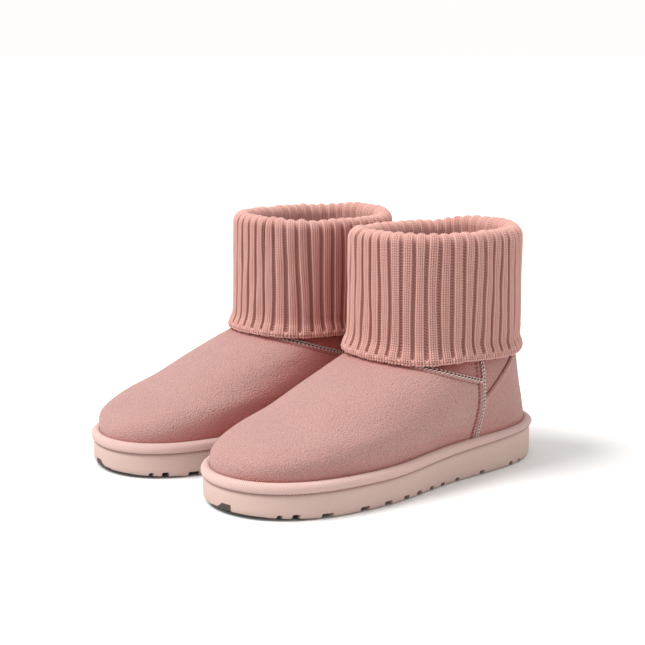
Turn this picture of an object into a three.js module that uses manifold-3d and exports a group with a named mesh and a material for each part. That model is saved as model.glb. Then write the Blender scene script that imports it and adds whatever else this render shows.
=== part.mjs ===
// A pair of soft baby boots with a turned-down rib-knit cuff, in millimetres, +Z up.
// The toes point to -Y, the left boot stands at +X and the floor is Z = 0.
import * as THREE from 'three';
import { ParametricGeometry } from 'three/addons/geometries/ParametricGeometry.js';
import { mergeVertices } from 'three/addons/utils/BufferGeometryUtils.js';
import Module from 'manifold-3d';

const wasm = await Module();
wasm.setup();

// How the pair stands
const BETWEEN_SOLES = 8.4;
const PAIR_STAGGER = 5;
const TOE_OUT = THREE.MathUtils.degToRad(2.6);

// Clearances between pieces that touch, and between the curved layers of the upper
const GAP = 0.3;
const LAYER_GAP = 0.55;

// Sole
const SOLE_LENGTH = 140;
const SOLE_HALF_WIDTH = 30;
const SOLE_HEIGHT = 9.1;
const TOE_INWARD = 4.4;
const SOLE_CORNER = 4.6;
const TOE_LIFT = 1.6;
const TOE_LIFT_LENGTH = 24;
const TREAD_DEPTH = 1.1;
const TREAD_REACH = 5;
const TREAD_WIDE = 3.2;
const TREAD_NARROW = 2;
const TREAD_GROOVES_FRONT = [-0.8, -0.67, -0.47, -0.32, -0.19, -0.09, 0.015];
const TREAD_GROOVES_BACK = [0.1, 0.22, 0.4, 0.62, 0.71];

// Welt, insole board and footbed
const WELT_HEIGHT = 3.4;
const WELT_PROUD = 0.6;
const WELT_WIDTH = 6;
const BOARD_HEIGHT = 2;
const FOOTBED_HEIGHT = 3.6;
const FOOTBED_INSET = 8.8;

// Upper
const UPPER_INSET = 2.2;
const INSTEP_RISE = 31.2;
const SHAFT_RISE = 67.2;
const LEATHER = 1.1;
const STIFFENER = 0.5;
const LINING = 1.5;

// Panel lines of the upper
const SIDE_SEAM_Y = 25.5;
const VAMP_TOP_RISE = 0.96;
const VAMP_TOP_SLOPE = -0.32;
const INSTEP_Y = 1;
const COUNTER_LOW_RISE = 0.53;
const COUNTER_SLOPE = 0.6;
const TOE_PUFF_LENGTH = 26;
const HEEL_STIFFENER_LENGTH = 34;
const HEEL_STIFFENER_RISE = 0.85;
const SEAM_PROUD = 0.8;
const SEAM_WIDTH = 2.4;
const SEAM_GAP = 0.45;

// Knit cuff
const CUFF_RISE = 75.5;
const CUFF_HEM_RISE = 30;
const CUFF_TILT = 1.9;
const CUFF_FLARE = 2.6;
const HEM_THINNING = 0.9;
const KNIT = 2.3;
const INNER_KNIT = 1.9;
const CUFF_ROLL = 3.4;
const CUFF_INNER_RISE = 51.2;

// Mesh steps
const COLUMNS = 32;
const OUTLINE_POINTS = 48;
const SIDE_SAMPLES = 120;

const BOARD_BOTTOM = SOLE_HEIGHT + GAP;
const WELT_TOP = BOARD_BOTTOM + WELT_HEIGHT;
const WALL_BOTTOM = WELT_TOP + GAP;
const FOOTBED_BOTTOM = BOARD_BOTTOM + BOARD_HEIGHT + GAP;
const STIFFENER_DEPTH = LEATHER + LAYER_GAP;
const LINING_DEPTH = STIFFENER_DEPTH + STIFFENER + LAYER_GAP;
const INNER_KNIT_DEPTH = LEATHER + GAP;
const SHAFT_TOP = WELT_TOP + SHAFT_RISE;
const CUFF_TOP = WELT_TOP + CUFF_RISE;
const CUFF_HEM = WELT_TOP + CUFF_HEM_RISE;
const CUFF_INNER_END = WELT_TOP + CUFF_INNER_RISE;
const PAIR_SPACING = 2 * SOLE_HALF_WIDTH + BETWEEN_SOLES;

const MATERIALS = {
  leather: new THREE.MeshStandardMaterial({ color: 0xc98a86, roughness: 0.85, metalness: 0 }),
  knit: new THREE.MeshStandardMaterial({ color: 0xd0948c, roughness: 0.95, metalness: 0 }),
  sole: new THREE.MeshStandardMaterial({ color: 0xdcaca2, roughness: 0.7, metalness: 0 }),
  welt: new THREE.MeshStandardMaterial({ color: 0xd6a49e, roughness: 0.8, metalness: 0 }),
  fleece: new THREE.MeshStandardMaterial({ color: 0xd8aaa4, roughness: 1, metalness: 0 }),
  board: new THREE.MeshStandardMaterial({ color: 0xc8b49a, roughness: 0.9, metalness: 0 }),
  stiffener: new THREE.MeshStandardMaterial({ color: 0xd8d2c6, roughness: 0.7, metalness: 0 }),
  thread: new THREE.MeshStandardMaterial({ color: 0xe2bdb6, roughness: 0.8, metalness: 0 }),
};

// A column of station values read at a position, smooth and without overshoot
function stationValue(positions, values, at) {
  const last = positions.length - 1;
  const x = THREE.MathUtils.clamp(at, positions[0], positions[last]);
  let i = 0;
  while (i < last - 1 && x > positions[i + 1]) i += 1;
  const chord = (j) => (values[j + 1] - values[j]) / (positions[j + 1] - positions[j]);
  const tangent = (j) => {
    if (j === 0 || j === last) return j === 0 ? chord(0) : chord(last - 1);
    const before = chord(j - 1);
    const after = chord(j);
    return before * after <= 0 ? 0 : (2 * before * after) / (before + after);
  };
  const step = positions[i + 1] - positions[i];
  const t = (x - positions[i]) / step;
  const rise = t * t * (3 - 2 * t);
  const bend = step * (t * (1 - t) * (1 - t) * tangent(i) - t * t * (1 - t) * tangent(i + 1));
  return values[i] + (values[i + 1] - values[i]) * rise + bend;
}

// Half width of the sole as a share of the forefoot's, from toe (0) to heel (1)
const SOLE_STATIONS = [0, 0.33, 0.62, 0.85, 1];
const OUTER_WIDTHS = [0.96, 1, 0.86, 0.875, 0.86];
const INNER_WIDTHS = [0.96, 1, 0.78, 0.865, 0.86];

function solePoint(side, along, inset) {
  const widths = side > 0 ? OUTER_WIDTHS : INNER_WIDTHS;
  const body = SOLE_HALF_WIDTH * stationValue(SOLE_STATIONS, widths, along) - inset;
  const cap = Math.sqrt(Math.max(0, 1 - Math.abs(2 * along - 1) ** SOLE_CORNER));
  const x = side * body * cap - TOE_INWARD * (1 - along) ** 2;
  const y = (SOLE_LENGTH - 2 * inset) * (along - 0.5);
  return new THREE.Vector2(x, y);
}

// The upper's outer face. Heights are shares of INSTEP_RISE above the welt, toe and heel are
// shares of half the sole's length, and half widths are shares of SOLE_HALF_WIDTH.
const WALL_RISES = [0, 0.09, 0.18, 0.3, 0.455, 0.65, 0.84, 1, 1.2];
const WALL_TOE = [-0.969, -0.962, -0.933, -0.83, -0.616, -0.425, -0.221, -0.05, -0.03];
const WALL_HEEL = [0.963, 0.966, 0.96, 0.951, 0.934, 0.914, 0.887, 0.857, 0.836];
const WALL_HALF = [0.927, 0.953, 0.967, 0.967, 0.947, 0.907, 0.87, 0.84, 0.825];
const WALL_PEAK = [0.72, 0.74, 0.77, 0.8, 0.84, 0.89, 0.95, 1, 1];
const WALL_BLUNT = [2.6, 2.6, 2.5, 2.4, 2.3, 2.25, 2.2, 2.25, 2.45];
const WALL_FREE = [0, 0.12, 0.35, 0.6, 0.85, 1, 1, 1, 1];

function sampleSide(side, z) {
  const rise = (z - WELT_TOP) / INSTEP_RISE;
  const at = (values) => stationValue(WALL_RISES, values, rise);
  const toe = at(WALL_TOE) * SOLE_LENGTH / 2;
  const heel = at(WALL_HEEL) * SOLE_LENGTH / 2;
  const half = at(WALL_HALF) * SOLE_HALF_WIDTH;
  const peak = at(WALL_PEAK);
  const blunt = at(WALL_BLUNT);
  const free = at(WALL_FREE);
  const points = [];
  for (let i = 0; i <= SIDE_SAMPLES; i += 1) {
    const along = (1 - Math.cos(Math.PI * i / SIDE_SAMPLES)) / 2;
    const oval = Math.max(0, 1 - Math.abs(2 * along ** peak - 1) ** blunt) ** (1 / blunt);
    const low = solePoint(side, along, UPPER_INSET).x;
    const high = side * half * oval - 0.35 * TOE_INWARD * (1 - along) ** 2;
    const y = toe + (heel - toe) * along;
    points.push(new THREE.Vector2(THREE.MathUtils.lerp(low, high, free), y));
  }
  return points;
}

// Points at an even share of the way along a chain of points
function alongChain(points) {
  const lengths = [0];
  for (let i = 1; i < points.length; i += 1) {
    lengths.push(lengths[i - 1] + points[i].distanceTo(points[i - 1]));
  }
  const total = lengths[lengths.length - 1];
  return (share) => {
    const goal = share * total;
    let i = 1;
    while (i < points.length - 1 && lengths[i] < goal) i += 1;
    const t = (goal - lengths[i - 1]) / (lengths[i] - lengths[i - 1]);
    return points[i - 1].clone().lerp(points[i], THREE.MathUtils.clamp(t, 0, 1));
  };
}

// Round the boot: 0 at the toe, 1 at the heel, positive on the outer side, negative on the inner
const wallChains = new Map();
function wallChain(side, z) {
  const key = `${side} ${z.toFixed(4)}`;
  if (!wallChains.has(key)) wallChains.set(key, alongChain(sampleSide(side, z)));
  return wallChains.get(key);
}

function wallFace(round, z) {
  let turn = round;
  if (turn > 1) turn -= 2;
  if (turn < -1) turn += 2;
  const flat = wallChain(turn >= 0 ? 1 : -1, z)(Math.abs(turn));
  return new THREE.Vector3(flat.x, flat.y, z);
}

function wallNormal(round, z) {
  const across = wallFace(round + 0.012, z).sub(wallFace(round - 0.012, z));
  const up = wallFace(round, z + 0.4).sub(wallFace(round, z - 0.4));
  return across.cross(up).normalize();
}

// A point at a depth under the wall's outer face; level keeps its height
function wallPoint(round, z, depth, level = false) {
  const normal = wallNormal(round, z);
  if (level) normal.setZ(0).normalize();
  return wallFace(round, z).addScaledVector(normal, -depth);
}

// Columns stand closer together at the toe and the heel
function columnRound(column, columns = COLUMNS) {
  const share = 2 * (column % columns) / columns;
  const turn = share <= 1 ? share : share - 2;
  const way = Math.abs(turn);
  return Math.sign(turn) * (way - 0.07 * Math.sin(2 * Math.PI * way));
}

function soleLoop(inset, count = OUTLINE_POINTS) {
  const chains = [1, -1].map((side) => {
    const points = [];
    for (let i = 0; i <= SIDE_SAMPLES; i += 1) {
      points.push(solePoint(side, (1 - Math.cos(Math.PI * i / SIDE_SAMPLES)) / 2, inset));
    }
    return alongChain(points);
  });
  const loop = [];
  for (let i = 0; i < count; i += 1) {
    const round = columnRound(i, count);
    loop.push(chains[round >= 0 ? 0 : 1](Math.abs(round)));
  }
  return loop;
}

// Closed bodies
function signedVolume(geometry) {
  const at = geometry.attributes.position;
  const index = geometry.index.array;
  const corners = [new THREE.Vector3(), new THREE.Vector3(), new THREE.Vector3()];
  let volume = 0;
  for (let i = 0; i < index.length; i += 3) {
    corners.forEach((corner, k) => corner.fromBufferAttribute(at, index[i + k]));
    volume += corners[0].dot(corners[1].cross(corners[2])) / 6;
  }
  return volume;
}

function turnOver(geometry) {
  const index = geometry.index.array;
  for (let i = 0; i < index.length; i += 3) {
    [index[i + 1], index[i + 2]] = [index[i + 2], index[i + 1]];
  }
  return geometry;
}

function closedBody(geometry) {
  geometry.deleteAttribute('normal');
  geometry.deleteAttribute('uv');
  const merged = mergeVertices(geometry, 1e-3);
  return signedVolume(merged) < 0 ? turnOver(merged) : merged;
}

function solidOf(geometry) {
  const body = closedBody(geometry);
  return new wasm.Manifold(new wasm.Mesh({
    numProp: 3,
    vertProperties: new Float32Array(body.attributes.position.array),
    triVerts: new Uint32Array(body.index.array),
  }));
}

function geometryOf(solid) {
  const mesh = solid.getMesh();
  const geometry = new THREE.BufferGeometry();
  geometry.setAttribute('position', new THREE.BufferAttribute(mesh.vertProperties, 3));
  geometry.setIndex(new THREE.BufferAttribute(mesh.triVerts, 1));
  return geometry;
}

// A ring whose section is a closed list of corners, each a point for a place round the boot
function ringSolid(corners, columns = COLUMNS) {
  const count = corners.length;
  return solidOf(new ParametricGeometry((u, v, target) => {
    const corner = Math.round(v * count) % count;
    target.copy(corners[corner](columnRound(Math.round(u * columns), columns)));
  }, columns, count));
}

// A shell of the upper between two depths
function shellSolid(outer, inner, rises, top = SHAFT_TOP) {
  const rows = [WALL_BOTTOM, ...rises.map((rise) => WELT_TOP + INSTEP_RISE * rise), top];
  const ends = [0, rows.length - 1];
  const side = (depth) => rows.map((z, i) => (round) => wallPoint(round, z, depth, ends.includes(i)));
  return ringSolid([...side(outer), ...side(inner).reverse()]);
}

// A slab across the boot whose side view is a list of [y, z] corners
function slabSolid(corners) {
  const reach = 4 * SOLE_HALF_WIDTH;
  const shape = new THREE.Shape(corners.map(([y, z]) => new THREE.Vector2(y, z)));
  const slab = new THREE.ExtrudeGeometry(shape, { depth: reach, bevelEnabled: false });
  slab.applyMatrix4(new THREE.Matrix4().makeBasis(
    new THREE.Vector3(0, 1, 0),
    new THREE.Vector3(0, 0, 1),
    new THREE.Vector3(1, 0, 0),
  ));
  return solidOf(slab.translate(-reach / 2, 0, 0));
}

function plateSolid(inset, bottom, height) {
  const shape = new THREE.Shape(soleLoop(inset));
  const plate = new THREE.ExtrudeGeometry(shape, { depth: height, bevelEnabled: false });
  return solidOf(plate.translate(0, 0, bottom));
}

// Sole unit: a thick moulded slab, notched along both bottom edges and lifted under the toe
function outsole() {
  let solid = plateSolid(0, 0, SOLE_HEIGHT);
  const half = SOLE_LENGTH / 2;
  const lift = slabSolid([
    [-half - 5, -5],
    [-half + TOE_LIFT_LENGTH, 0],
    [-half - 5, TOE_LIFT * (1 + 5 / TOE_LIFT_LENGTH)],
  ]);
  const middle = plateSolid(TREAD_REACH, -1, TREAD_DEPTH + 2);
  const groove = (place, width) => {
    const y = place * half;
    const lower = -1;
    const rise = Math.max(0, -half + TOE_LIFT_LENGTH - y) * TOE_LIFT / TOE_LIFT_LENGTH;
    const upper = TREAD_DEPTH + rise;
    return slabSolid([
      [y - width / 2, lower],
      [y + width / 2, lower],
      [y + width / 2, upper],
      [y - width / 2, upper],
    ]).subtract(middle);
  };
  solid = solid.subtract(lift);
  for (const place of TREAD_GROOVES_FRONT) solid = solid.subtract(groove(place, TREAD_WIDE));
  for (const place of TREAD_GROOVES_BACK) solid = solid.subtract(groove(place, TREAD_NARROW));
  return solid;
}

// Welt: the padded band between the sole unit and the upper
function welt() {
  const section = [
    [0, BOARD_BOTTOM],
    [-WELT_PROUD, BOARD_BOTTOM + 0.9],
    [-WELT_PROUD, WELT_TOP - 1.1],
    [0.5, WELT_TOP],
    [WELT_WIDTH, WELT_TOP],
    [WELT_WIDTH, BOARD_BOTTOM],
  ];
  const loops = section.map(([inset]) => soleLoop(inset, OUTLINE_POINTS));
  return solidOf(new ParametricGeometry((u, v, target) => {
    const corner = Math.round(v * section.length) % section.length;
    const point = loops[corner][Math.round(u * OUTLINE_POINTS) % OUTLINE_POINTS];
    target.set(point.x, point.y, section[corner][1]);
  }, OUTLINE_POINTS, section.length));
}

// Upper: one shell parted into panels along the seam lines
const PANEL_RISES = [0.1, 0.21, 0.34, 0.5, 0.7, 0.85, 0.93, 0.98, 1.05, 1.2];
const LINING_RISES = [0.1, 0.21, 0.34, 0.5, 0.7, 0.85, 1, 1.2];

function vampTopAt(y) {
  return WELT_TOP + INSTEP_RISE * VAMP_TOP_RISE + VAMP_TOP_SLOPE * y;
}

function counterTopAt(y) {
  return WELT_TOP + INSTEP_RISE * COUNTER_LOW_RISE + COUNTER_SLOPE * (y - SIDE_SEAM_Y);
}

function upperPanels() {
  const shell = shellSolid(0, LEATHER, PANEL_RISES);
  const far = SOLE_LENGTH;
  const front = SIDE_SEAM_Y - GAP / 2;
  const back = SIDE_SEAM_Y + GAP / 2;
  const above = 2 * SHAFT_TOP;
  return {
    vamp: shell.intersect(slabSolid([
      [-far, 0],
      [front, 0],
      [front, vampTopAt(front)],
      [INSTEP_Y, vampTopAt(INSTEP_Y)],
      [-far, vampTopAt(INSTEP_Y)],
    ])),
    shaft_front: shell.intersect(slabSolid([
      [-far, vampTopAt(INSTEP_Y) + GAP],
      [INSTEP_Y, vampTopAt(INSTEP_Y) + GAP],
      [front, vampTopAt(front) + GAP],
      [front, above],
      [-far, above],
    ])),
    heel_counter: shell.intersect(slabSolid([
      [back, 0],
      [far, 0],
      [far, counterTopAt(far)],
      [back, counterTopAt(back)],
    ])),
    shaft_back: shell.intersect(slabSolid([
      [back, counterTopAt(back) + GAP],
      [far, counterTopAt(far) + GAP],
      [far, 2 * above],
      [back, 2 * above],
    ])),
  };
}

// Hidden stiffening between the leather and the lining, at the toe and round the heel
function stiffeners() {
  const shell = shellSolid(STIFFENER_DEPTH, STIFFENER_DEPTH + STIFFENER, PANEL_RISES);
  const half = SOLE_LENGTH / 2;
  const puffEnd = -half + TOE_PUFF_LENGTH;
  const heelStart = half - HEEL_STIFFENER_LENGTH;
  const heelTop = WELT_TOP + INSTEP_RISE * HEEL_STIFFENER_RISE;
  return {
    toe_puff: shell.intersect(slabSolid([
      [-2 * half, 0],
      [puffEnd, 0],
      [puffEnd, SHAFT_TOP],
      [-2 * half, SHAFT_TOP],
    ])),
    heel_stiffener: shell.intersect(slabSolid([
      [heelStart, 0],
      [2 * half, 0],
      [2 * half, heelTop],
      [heelStart, heelTop],
    ])),
  };
}

// Fleece sock inside the foot and the leg, up to the inner end of the knit
function lining() {
  const top = CUFF_INNER_END - GAP;
  return shellSolid(LINING_DEPTH, LINING_DEPTH + LINING, LINING_RISES, top);
}

// The place round the boot where the wall stands at a given y
function roundAt(side, y, z) {
  let low = 0;
  let high = 1;
  for (let i = 0; i < 24; i += 1) {
    const middle = (low + high) / 2;
    if (wallFace(side * middle, z).y < y) low = middle;
    else high = middle;
  }
  return side * low;
}

// A raised seam: a flat strip of overlocked thread that follows a line on the wall.
// The line gives [round, z] for a share of its length and an offset across the strip.
function seamSolid(line, steps) {
  const corners = [
    [-0.5, SEAM_GAP],
    [-0.3, SEAM_GAP + SEAM_PROUD],
    [0.3, SEAM_GAP + SEAM_PROUD],
    [0.5, SEAM_GAP],
  ];
  const tube = new ParametricGeometry((u, v, target) => {
    const [across, out] = corners[Math.round(v * corners.length) % corners.length];
    const [round, z] = line(Math.round(u * steps) / steps, across * SEAM_WIDTH);
    target.copy(wallPoint(round, z, -out));
  }, steps, corners.length);
  tube.deleteAttribute('normal');
  tube.deleteAttribute('uv');
  const skin = mergeVertices(tube, 1e-3);
  const points = skin.attributes.position;
  const find = (share, corner) => {
    const [across, out] = corners[corner];
    const [round, z] = line(share, across * SEAM_WIDTH);
    const goal = wallPoint(round, z, -out);
    const point = new THREE.Vector3();
    for (let i = 0; i < points.count; i += 1) {
      if (point.fromBufferAttribute(points, i).distanceTo(goal) < 2e-3) return i;
    }
    throw new Error('a seam end has no corner');
  };
  const index = Array.from(skin.index.array);
  const start = corners.map((corner, i) => find(0, i));
  const end = corners.map((corner, i) => find(1, i));
  const uses = (a, b) => {
    for (let i = 0; i < index.length; i += 3) {
      for (let k = 0; k < 3; k += 1) {
        if (index[i + k] === a && index[i + (k + 1) % 3] === b) return true;
      }
    }
    return false;
  };
  for (const ring of [start, end]) {
    const loop = uses(ring[0], ring[1]) ? [...ring].reverse() : ring;
    index.push(loop[0], loop[1], loop[2], loop[0], loop[2], loop[3]);
  }
  skin.setIndex(index);
  return solidOf(skin);
}

function sideSeam(side) {
  const bottom = WALL_BOTTOM + 0.6;
  const top = vampTopAt(SIDE_SEAM_Y) + 6;
  return seamSolid((share, across) => {
    const z = THREE.MathUtils.lerp(bottom, top, share);
    return [roundAt(side, SIDE_SEAM_Y + across, z), z];
  }, 10);
}

function vampSeam() {
  const clear = SEAM_WIDTH + GAP;
  const ends = [-1, 1].map((side) => {
    const y = SIDE_SEAM_Y - clear;
    return roundAt(side, y, vampTopAt(y));
  });
  return seamSolid((share, across) => {
    const round = THREE.MathUtils.lerp(ends[0], ends[1], share);
    let z = vampTopAt(INSTEP_Y);
    for (let i = 0; i < 20; i += 1) z = vampTopAt(Math.max(INSTEP_Y, wallFace(round, z).y));
    return [round, z + across];
  }, 20);
}

// Knit cuff: one folded tube, its inner layer inside the shaft and its outer layer turned down
function knitCuff() {
  const plain = WELT_TOP + INSTEP_RISE * 1.6;
  const level = (out, z) => (round) => {
    const point = wallPoint(round, plain, -out, true);
    return point.setZ(z);
  };
  const tilted = (out, rise) => (round) => {
    const point = wallPoint(round, plain, -out, true);
    const middle = (WALL_TOE[8] + WALL_HEEL[8]) * SOLE_LENGTH / 4;
    const tilt = -CUFF_TILT * (point.y - middle) / (SOLE_LENGTH / 4);
    return point.setZ(CUFF_HEM + rise + tilt);
  };
  const outer = GAP + KNIT;
  const inner = -INNER_KNIT_DEPTH;
  const innermost = inner - INNER_KNIT;
  const slotTop = SHAFT_TOP + GAP;
  return ringSolid([
    tilted(GAP + HEM_THINNING + CUFF_FLARE, 0),
    tilted(outer + CUFF_FLARE, 0),
    tilted(outer + CUFF_FLARE * 0.45, 4),
    tilted(outer + CUFF_FLARE * 0.12, 10),
    level(outer, CUFF_TOP - CUFF_ROLL),
    level(outer - CUFF_ROLL * 0.27, CUFF_TOP - CUFF_ROLL * 0.3),
    level(outer - CUFF_ROLL * 0.8, CUFF_TOP),
    level(innermost + CUFF_ROLL * 0.3, CUFF_TOP - CUFF_ROLL * 0.35),
    level(innermost, CUFF_TOP - CUFF_ROLL * 1.3),
    level(innermost, CUFF_INNER_END),
    level(inner, CUFF_INNER_END),
    level(inner, slotTop),
    level(GAP, slotTop),
    tilted(GAP + 0.1, 12),
    tilted(GAP + HEM_THINNING + CUFF_FLARE * 0.45, 4.5),
  ]);
}

function bootSolids() {
  return {
    outsole: [outsole(), MATERIALS.sole],
    welt: [welt(), MATERIALS.welt],
    insole_board: [plateSolid(WELT_WIDTH + GAP, BOARD_BOTTOM, BOARD_HEIGHT), MATERIALS.board],
    footbed: [plateSolid(FOOTBED_INSET, FOOTBED_BOTTOM, FOOTBED_HEIGHT), MATERIALS.fleece],
    lining: [lining(), MATERIALS.fleece],
    ...Object.fromEntries(Object.entries(stiffeners()).map(
      ([name, solid]) => [name, [solid, MATERIALS.stiffener]],
    )),
    ...Object.fromEntries(Object.entries(upperPanels()).map(
      ([name, solid]) => [name, [solid, MATERIALS.leather]],
    )),
    outer_side_seam: [sideSeam(1), MATERIALS.thread],
    inner_side_seam: [sideSeam(-1), MATERIALS.thread],
    vamp_seam: [vampSeam(), MATERIALS.thread],
    knit_cuff: [knitCuff(), MATERIALS.knit],
  };
}

// The left boot is modelled; the right one is its mirror image
const solids = bootSolids();

function boot(name, mirror) {
  const group = new THREE.Group();
  group.name = name;
  for (const [piece, [solid, material]] of Object.entries(solids)) {
    const geometry = geometryOf(solid);
    if (mirror) turnOver(geometry.scale(-1, 1, 1));
    const mesh = new THREE.Mesh(geometry, material);
    mesh.name = `${name}_${piece}`;
    group.add(mesh);
  }
  const hand = mirror ? -1 : 1;
  group.position.set(hand * PAIR_SPACING / 2, hand * PAIR_STAGGER / 2, 0);
  group.rotation.z = hand * TOE_OUT;
  return group;
}

// The pair, with the middle of its box above the origin
const group = new THREE.Group();
const pair = new THREE.Group();
pair.add(boot('left', false), boot('right', true));
group.add(pair);
const box = new THREE.Box3().setFromObject(pair, true);
pair.position.set(-(box.min.x + box.max.x) / 2, -(box.min.y + box.max.y) / 2, -box.min.z);

export default group;
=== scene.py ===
"""A pair of baby boots with turned-down rib-knit cuffs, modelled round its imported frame."""

import math

import bmesh
import bpy
import numpy as np
from bpy.props import FloatProperty, FloatVectorProperty, IntProperty, PointerProperty
from mathutils import Matrix, Vector


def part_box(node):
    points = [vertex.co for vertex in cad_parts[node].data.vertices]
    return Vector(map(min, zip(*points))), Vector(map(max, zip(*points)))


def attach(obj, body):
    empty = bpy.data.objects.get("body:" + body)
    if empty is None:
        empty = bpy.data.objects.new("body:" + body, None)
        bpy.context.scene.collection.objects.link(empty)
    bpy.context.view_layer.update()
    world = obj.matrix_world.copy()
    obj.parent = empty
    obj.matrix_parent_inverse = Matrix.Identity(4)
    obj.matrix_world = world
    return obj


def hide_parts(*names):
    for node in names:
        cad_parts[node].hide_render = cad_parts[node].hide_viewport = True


bl_info = {
    "name": "Baby Boots",
    "version": (1, 0, 0),
    "blender": (4, 5, 0),
    "location": "3D View > Sidebar > Boots",
    "description": "Models a pair of soft baby boots with folded rib-knit cuffs",
    "category": "Add Mesh",
}

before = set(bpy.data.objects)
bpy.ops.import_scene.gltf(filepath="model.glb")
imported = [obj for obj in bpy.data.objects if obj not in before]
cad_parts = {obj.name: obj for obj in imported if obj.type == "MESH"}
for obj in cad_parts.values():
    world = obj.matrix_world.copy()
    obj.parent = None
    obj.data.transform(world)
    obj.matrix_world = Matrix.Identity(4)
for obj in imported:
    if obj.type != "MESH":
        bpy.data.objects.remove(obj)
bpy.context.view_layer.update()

# Each boot is modelled in millimetres as the left one, toe towards -Y, and placed twice
MM = 0.001
TOE_OUT = math.radians(2.6)
PAIR_SPACING = 68.4
PAIR_STAGGER = 5.0

# One boot's sizes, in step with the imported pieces
SOLE_LENGTH = 140.0
SOLE_HALF_WIDTH = 30.0
SOLE_HEIGHT = 9.1
TOE_INWARD = 4.4
SOLE_CORNER = 4.6
HEEL_SQUARENESS = 0.6
NOTCH_REACH = 8.0
WELT_TOP = 12.8
FOOTBED_BOTTOM = 11.7
FOOTBED_HEIGHT = 3.6
FOOTBED_INSET = 8.8
UPPER_INSET = 2.2
INSTEP_RISE = 31.2
SHAFT_TOP = 80.0
LINING_DEPTH = 2.7
LINING = 1.5
LINING_TOP = 63.7
SIDE_SEAM_Y = 25.5
CUFF_TILT = 1.9
PLAIN_RISE = 1.2

# Heights of the panels' top edges at their starts, over the welt, and how steeply they run
VAMP_EDGE = 30.2
VAMP_FALL = 0.305
COUNTER_EDGE = 15.6
COUNTER_CLIMB = 0.565
# How much thicker the sole is at the heel, how much higher the welt's crown, and the toe's curl
SOLE_HEEL_RISE = 2.7
WELT_HEEL_RISE = 1.45
TOE_CURL = 1.3
TOE_CURL_REACH = 24

# How finely the outline and the wall are worked out
OUTLINE_STEPS = 400
SIDE_STEPS = 240
WALL_LEVELS = 161
WALL_STEPS = 401

# The sole's half widths along it, as shares, on either side
SOLE_STATIONS = (0, 0.33, 0.62, 0.85, 1)
OUTER_WIDTHS = (0.96, 1, 0.86, 0.875, 0.86)
INNER_WIDTHS = (0.96, 1, 0.78, 0.865, 0.86)

# The upper's wall at rises over the welt, 1 being the instep: where its section ends at toe and
# heel, its half width, where it is widest, how blunt it is and how free of the sole's outline
WALL_RISES = (0, 0.09, 0.18, 0.3, 0.455, 0.65, 0.84, 1, 1.2)
WALL_TOE = (-0.969, -0.962, -0.933, -0.83, -0.616, -0.425, -0.221, -0.05, -0.03)
WALL_HEEL = (0.963, 0.966, 0.96, 0.951, 0.934, 0.914, 0.887, 0.857, 0.836)
WALL_HALF = (0.927, 0.953, 0.967, 0.967, 0.947, 0.907, 0.87, 0.84, 0.825)
WALL_PEAK = (0.72, 0.74, 0.77, 0.8, 0.84, 0.89, 0.95, 1, 1)
WALL_BLUNT = (2.6, 2.6, 2.5, 2.4, 2.3, 2.25, 2.2, 2.25, 2.45)
WALL_FREE = (0, 0.12, 0.35, 0.6, 0.85, 1, 1, 1, 1)


# ---------------------------------------------------------------- the boot's form


def station(positions, values, at):
    """A column of station values read at a position, smooth and without overshoot."""
    xs = np.asarray(positions, float)
    ys = np.asarray(values, float)
    x = np.clip(at, xs[0], xs[-1])
    i = np.clip(np.searchsorted(xs, x) - 1, 0, len(xs) - 2)
    chord = np.diff(ys) / np.diff(xs)
    both = chord[:-1] * chord[1:]
    total = np.where(both > 0, chord[:-1] + chord[1:], 1)
    inner = np.where(both > 0, 2 * both / total, 0)
    tangent = np.concatenate([chord[:1], inner, chord[-1:]])
    step = xs[i + 1] - xs[i]
    t = (x - xs[i]) / step
    bend = step * (t * (1 - t) ** 2 * tangent[i] - t * t * (1 - t) * tangent[i + 1])
    return ys[i] + (ys[i + 1] - ys[i]) * t * t * (3 - 2 * t) + bend


def smooth(low, high, x):
    """0 below low, 1 above high and a soft step between."""
    t = np.clip((x - low) / (high - low), 0, 1)
    return t * t * (3 - 2 * t)


def sole_half(side, along, inset):
    """Sideways place of the sole's edge on one side, from toe (0) to heel (1)."""
    widths = OUTER_WIDTHS if side > 0 else INNER_WIDTHS
    body = SOLE_HALF_WIDTH * station(SOLE_STATIONS, widths, along) - inset
    corner = SOLE_CORNER + HEEL_SQUARENESS * smooth(0.5, 0.85, along)
    cap = np.sqrt(np.clip(1 - np.abs(2 * along - 1) ** corner, 0, 1))
    return side * body * cap - TOE_INWARD * (1 - along) ** 2


def even_chain(points, shares):
    """Points at even shares of the way along a chain."""
    steps = np.hypot(*np.diff(points, axis=0).T)
    way = np.concatenate([[0], np.cumsum(steps)])
    goal = shares * way[-1]
    return np.stack([np.interp(goal, way, points[:, k]) for k in (0, 1)], 1)


def outline(inset, count):
    """A closed loop round the sole at an inset, toe first, then the outer side."""
    along = (1 - np.cos(np.linspace(0, np.pi, OUTLINE_STEPS))) / 2
    y = (SOLE_LENGTH - 2 * inset) * (along - 0.5)
    shares = np.linspace(0, 1, count // 2 + 1)
    sides = [
        even_chain(np.stack([sole_half(side, along, inset), y], 1), shares)
        for side in (1, -1)
    ]
    return np.concatenate([sides[0], sides[1][::-1][1:-1]])


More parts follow.
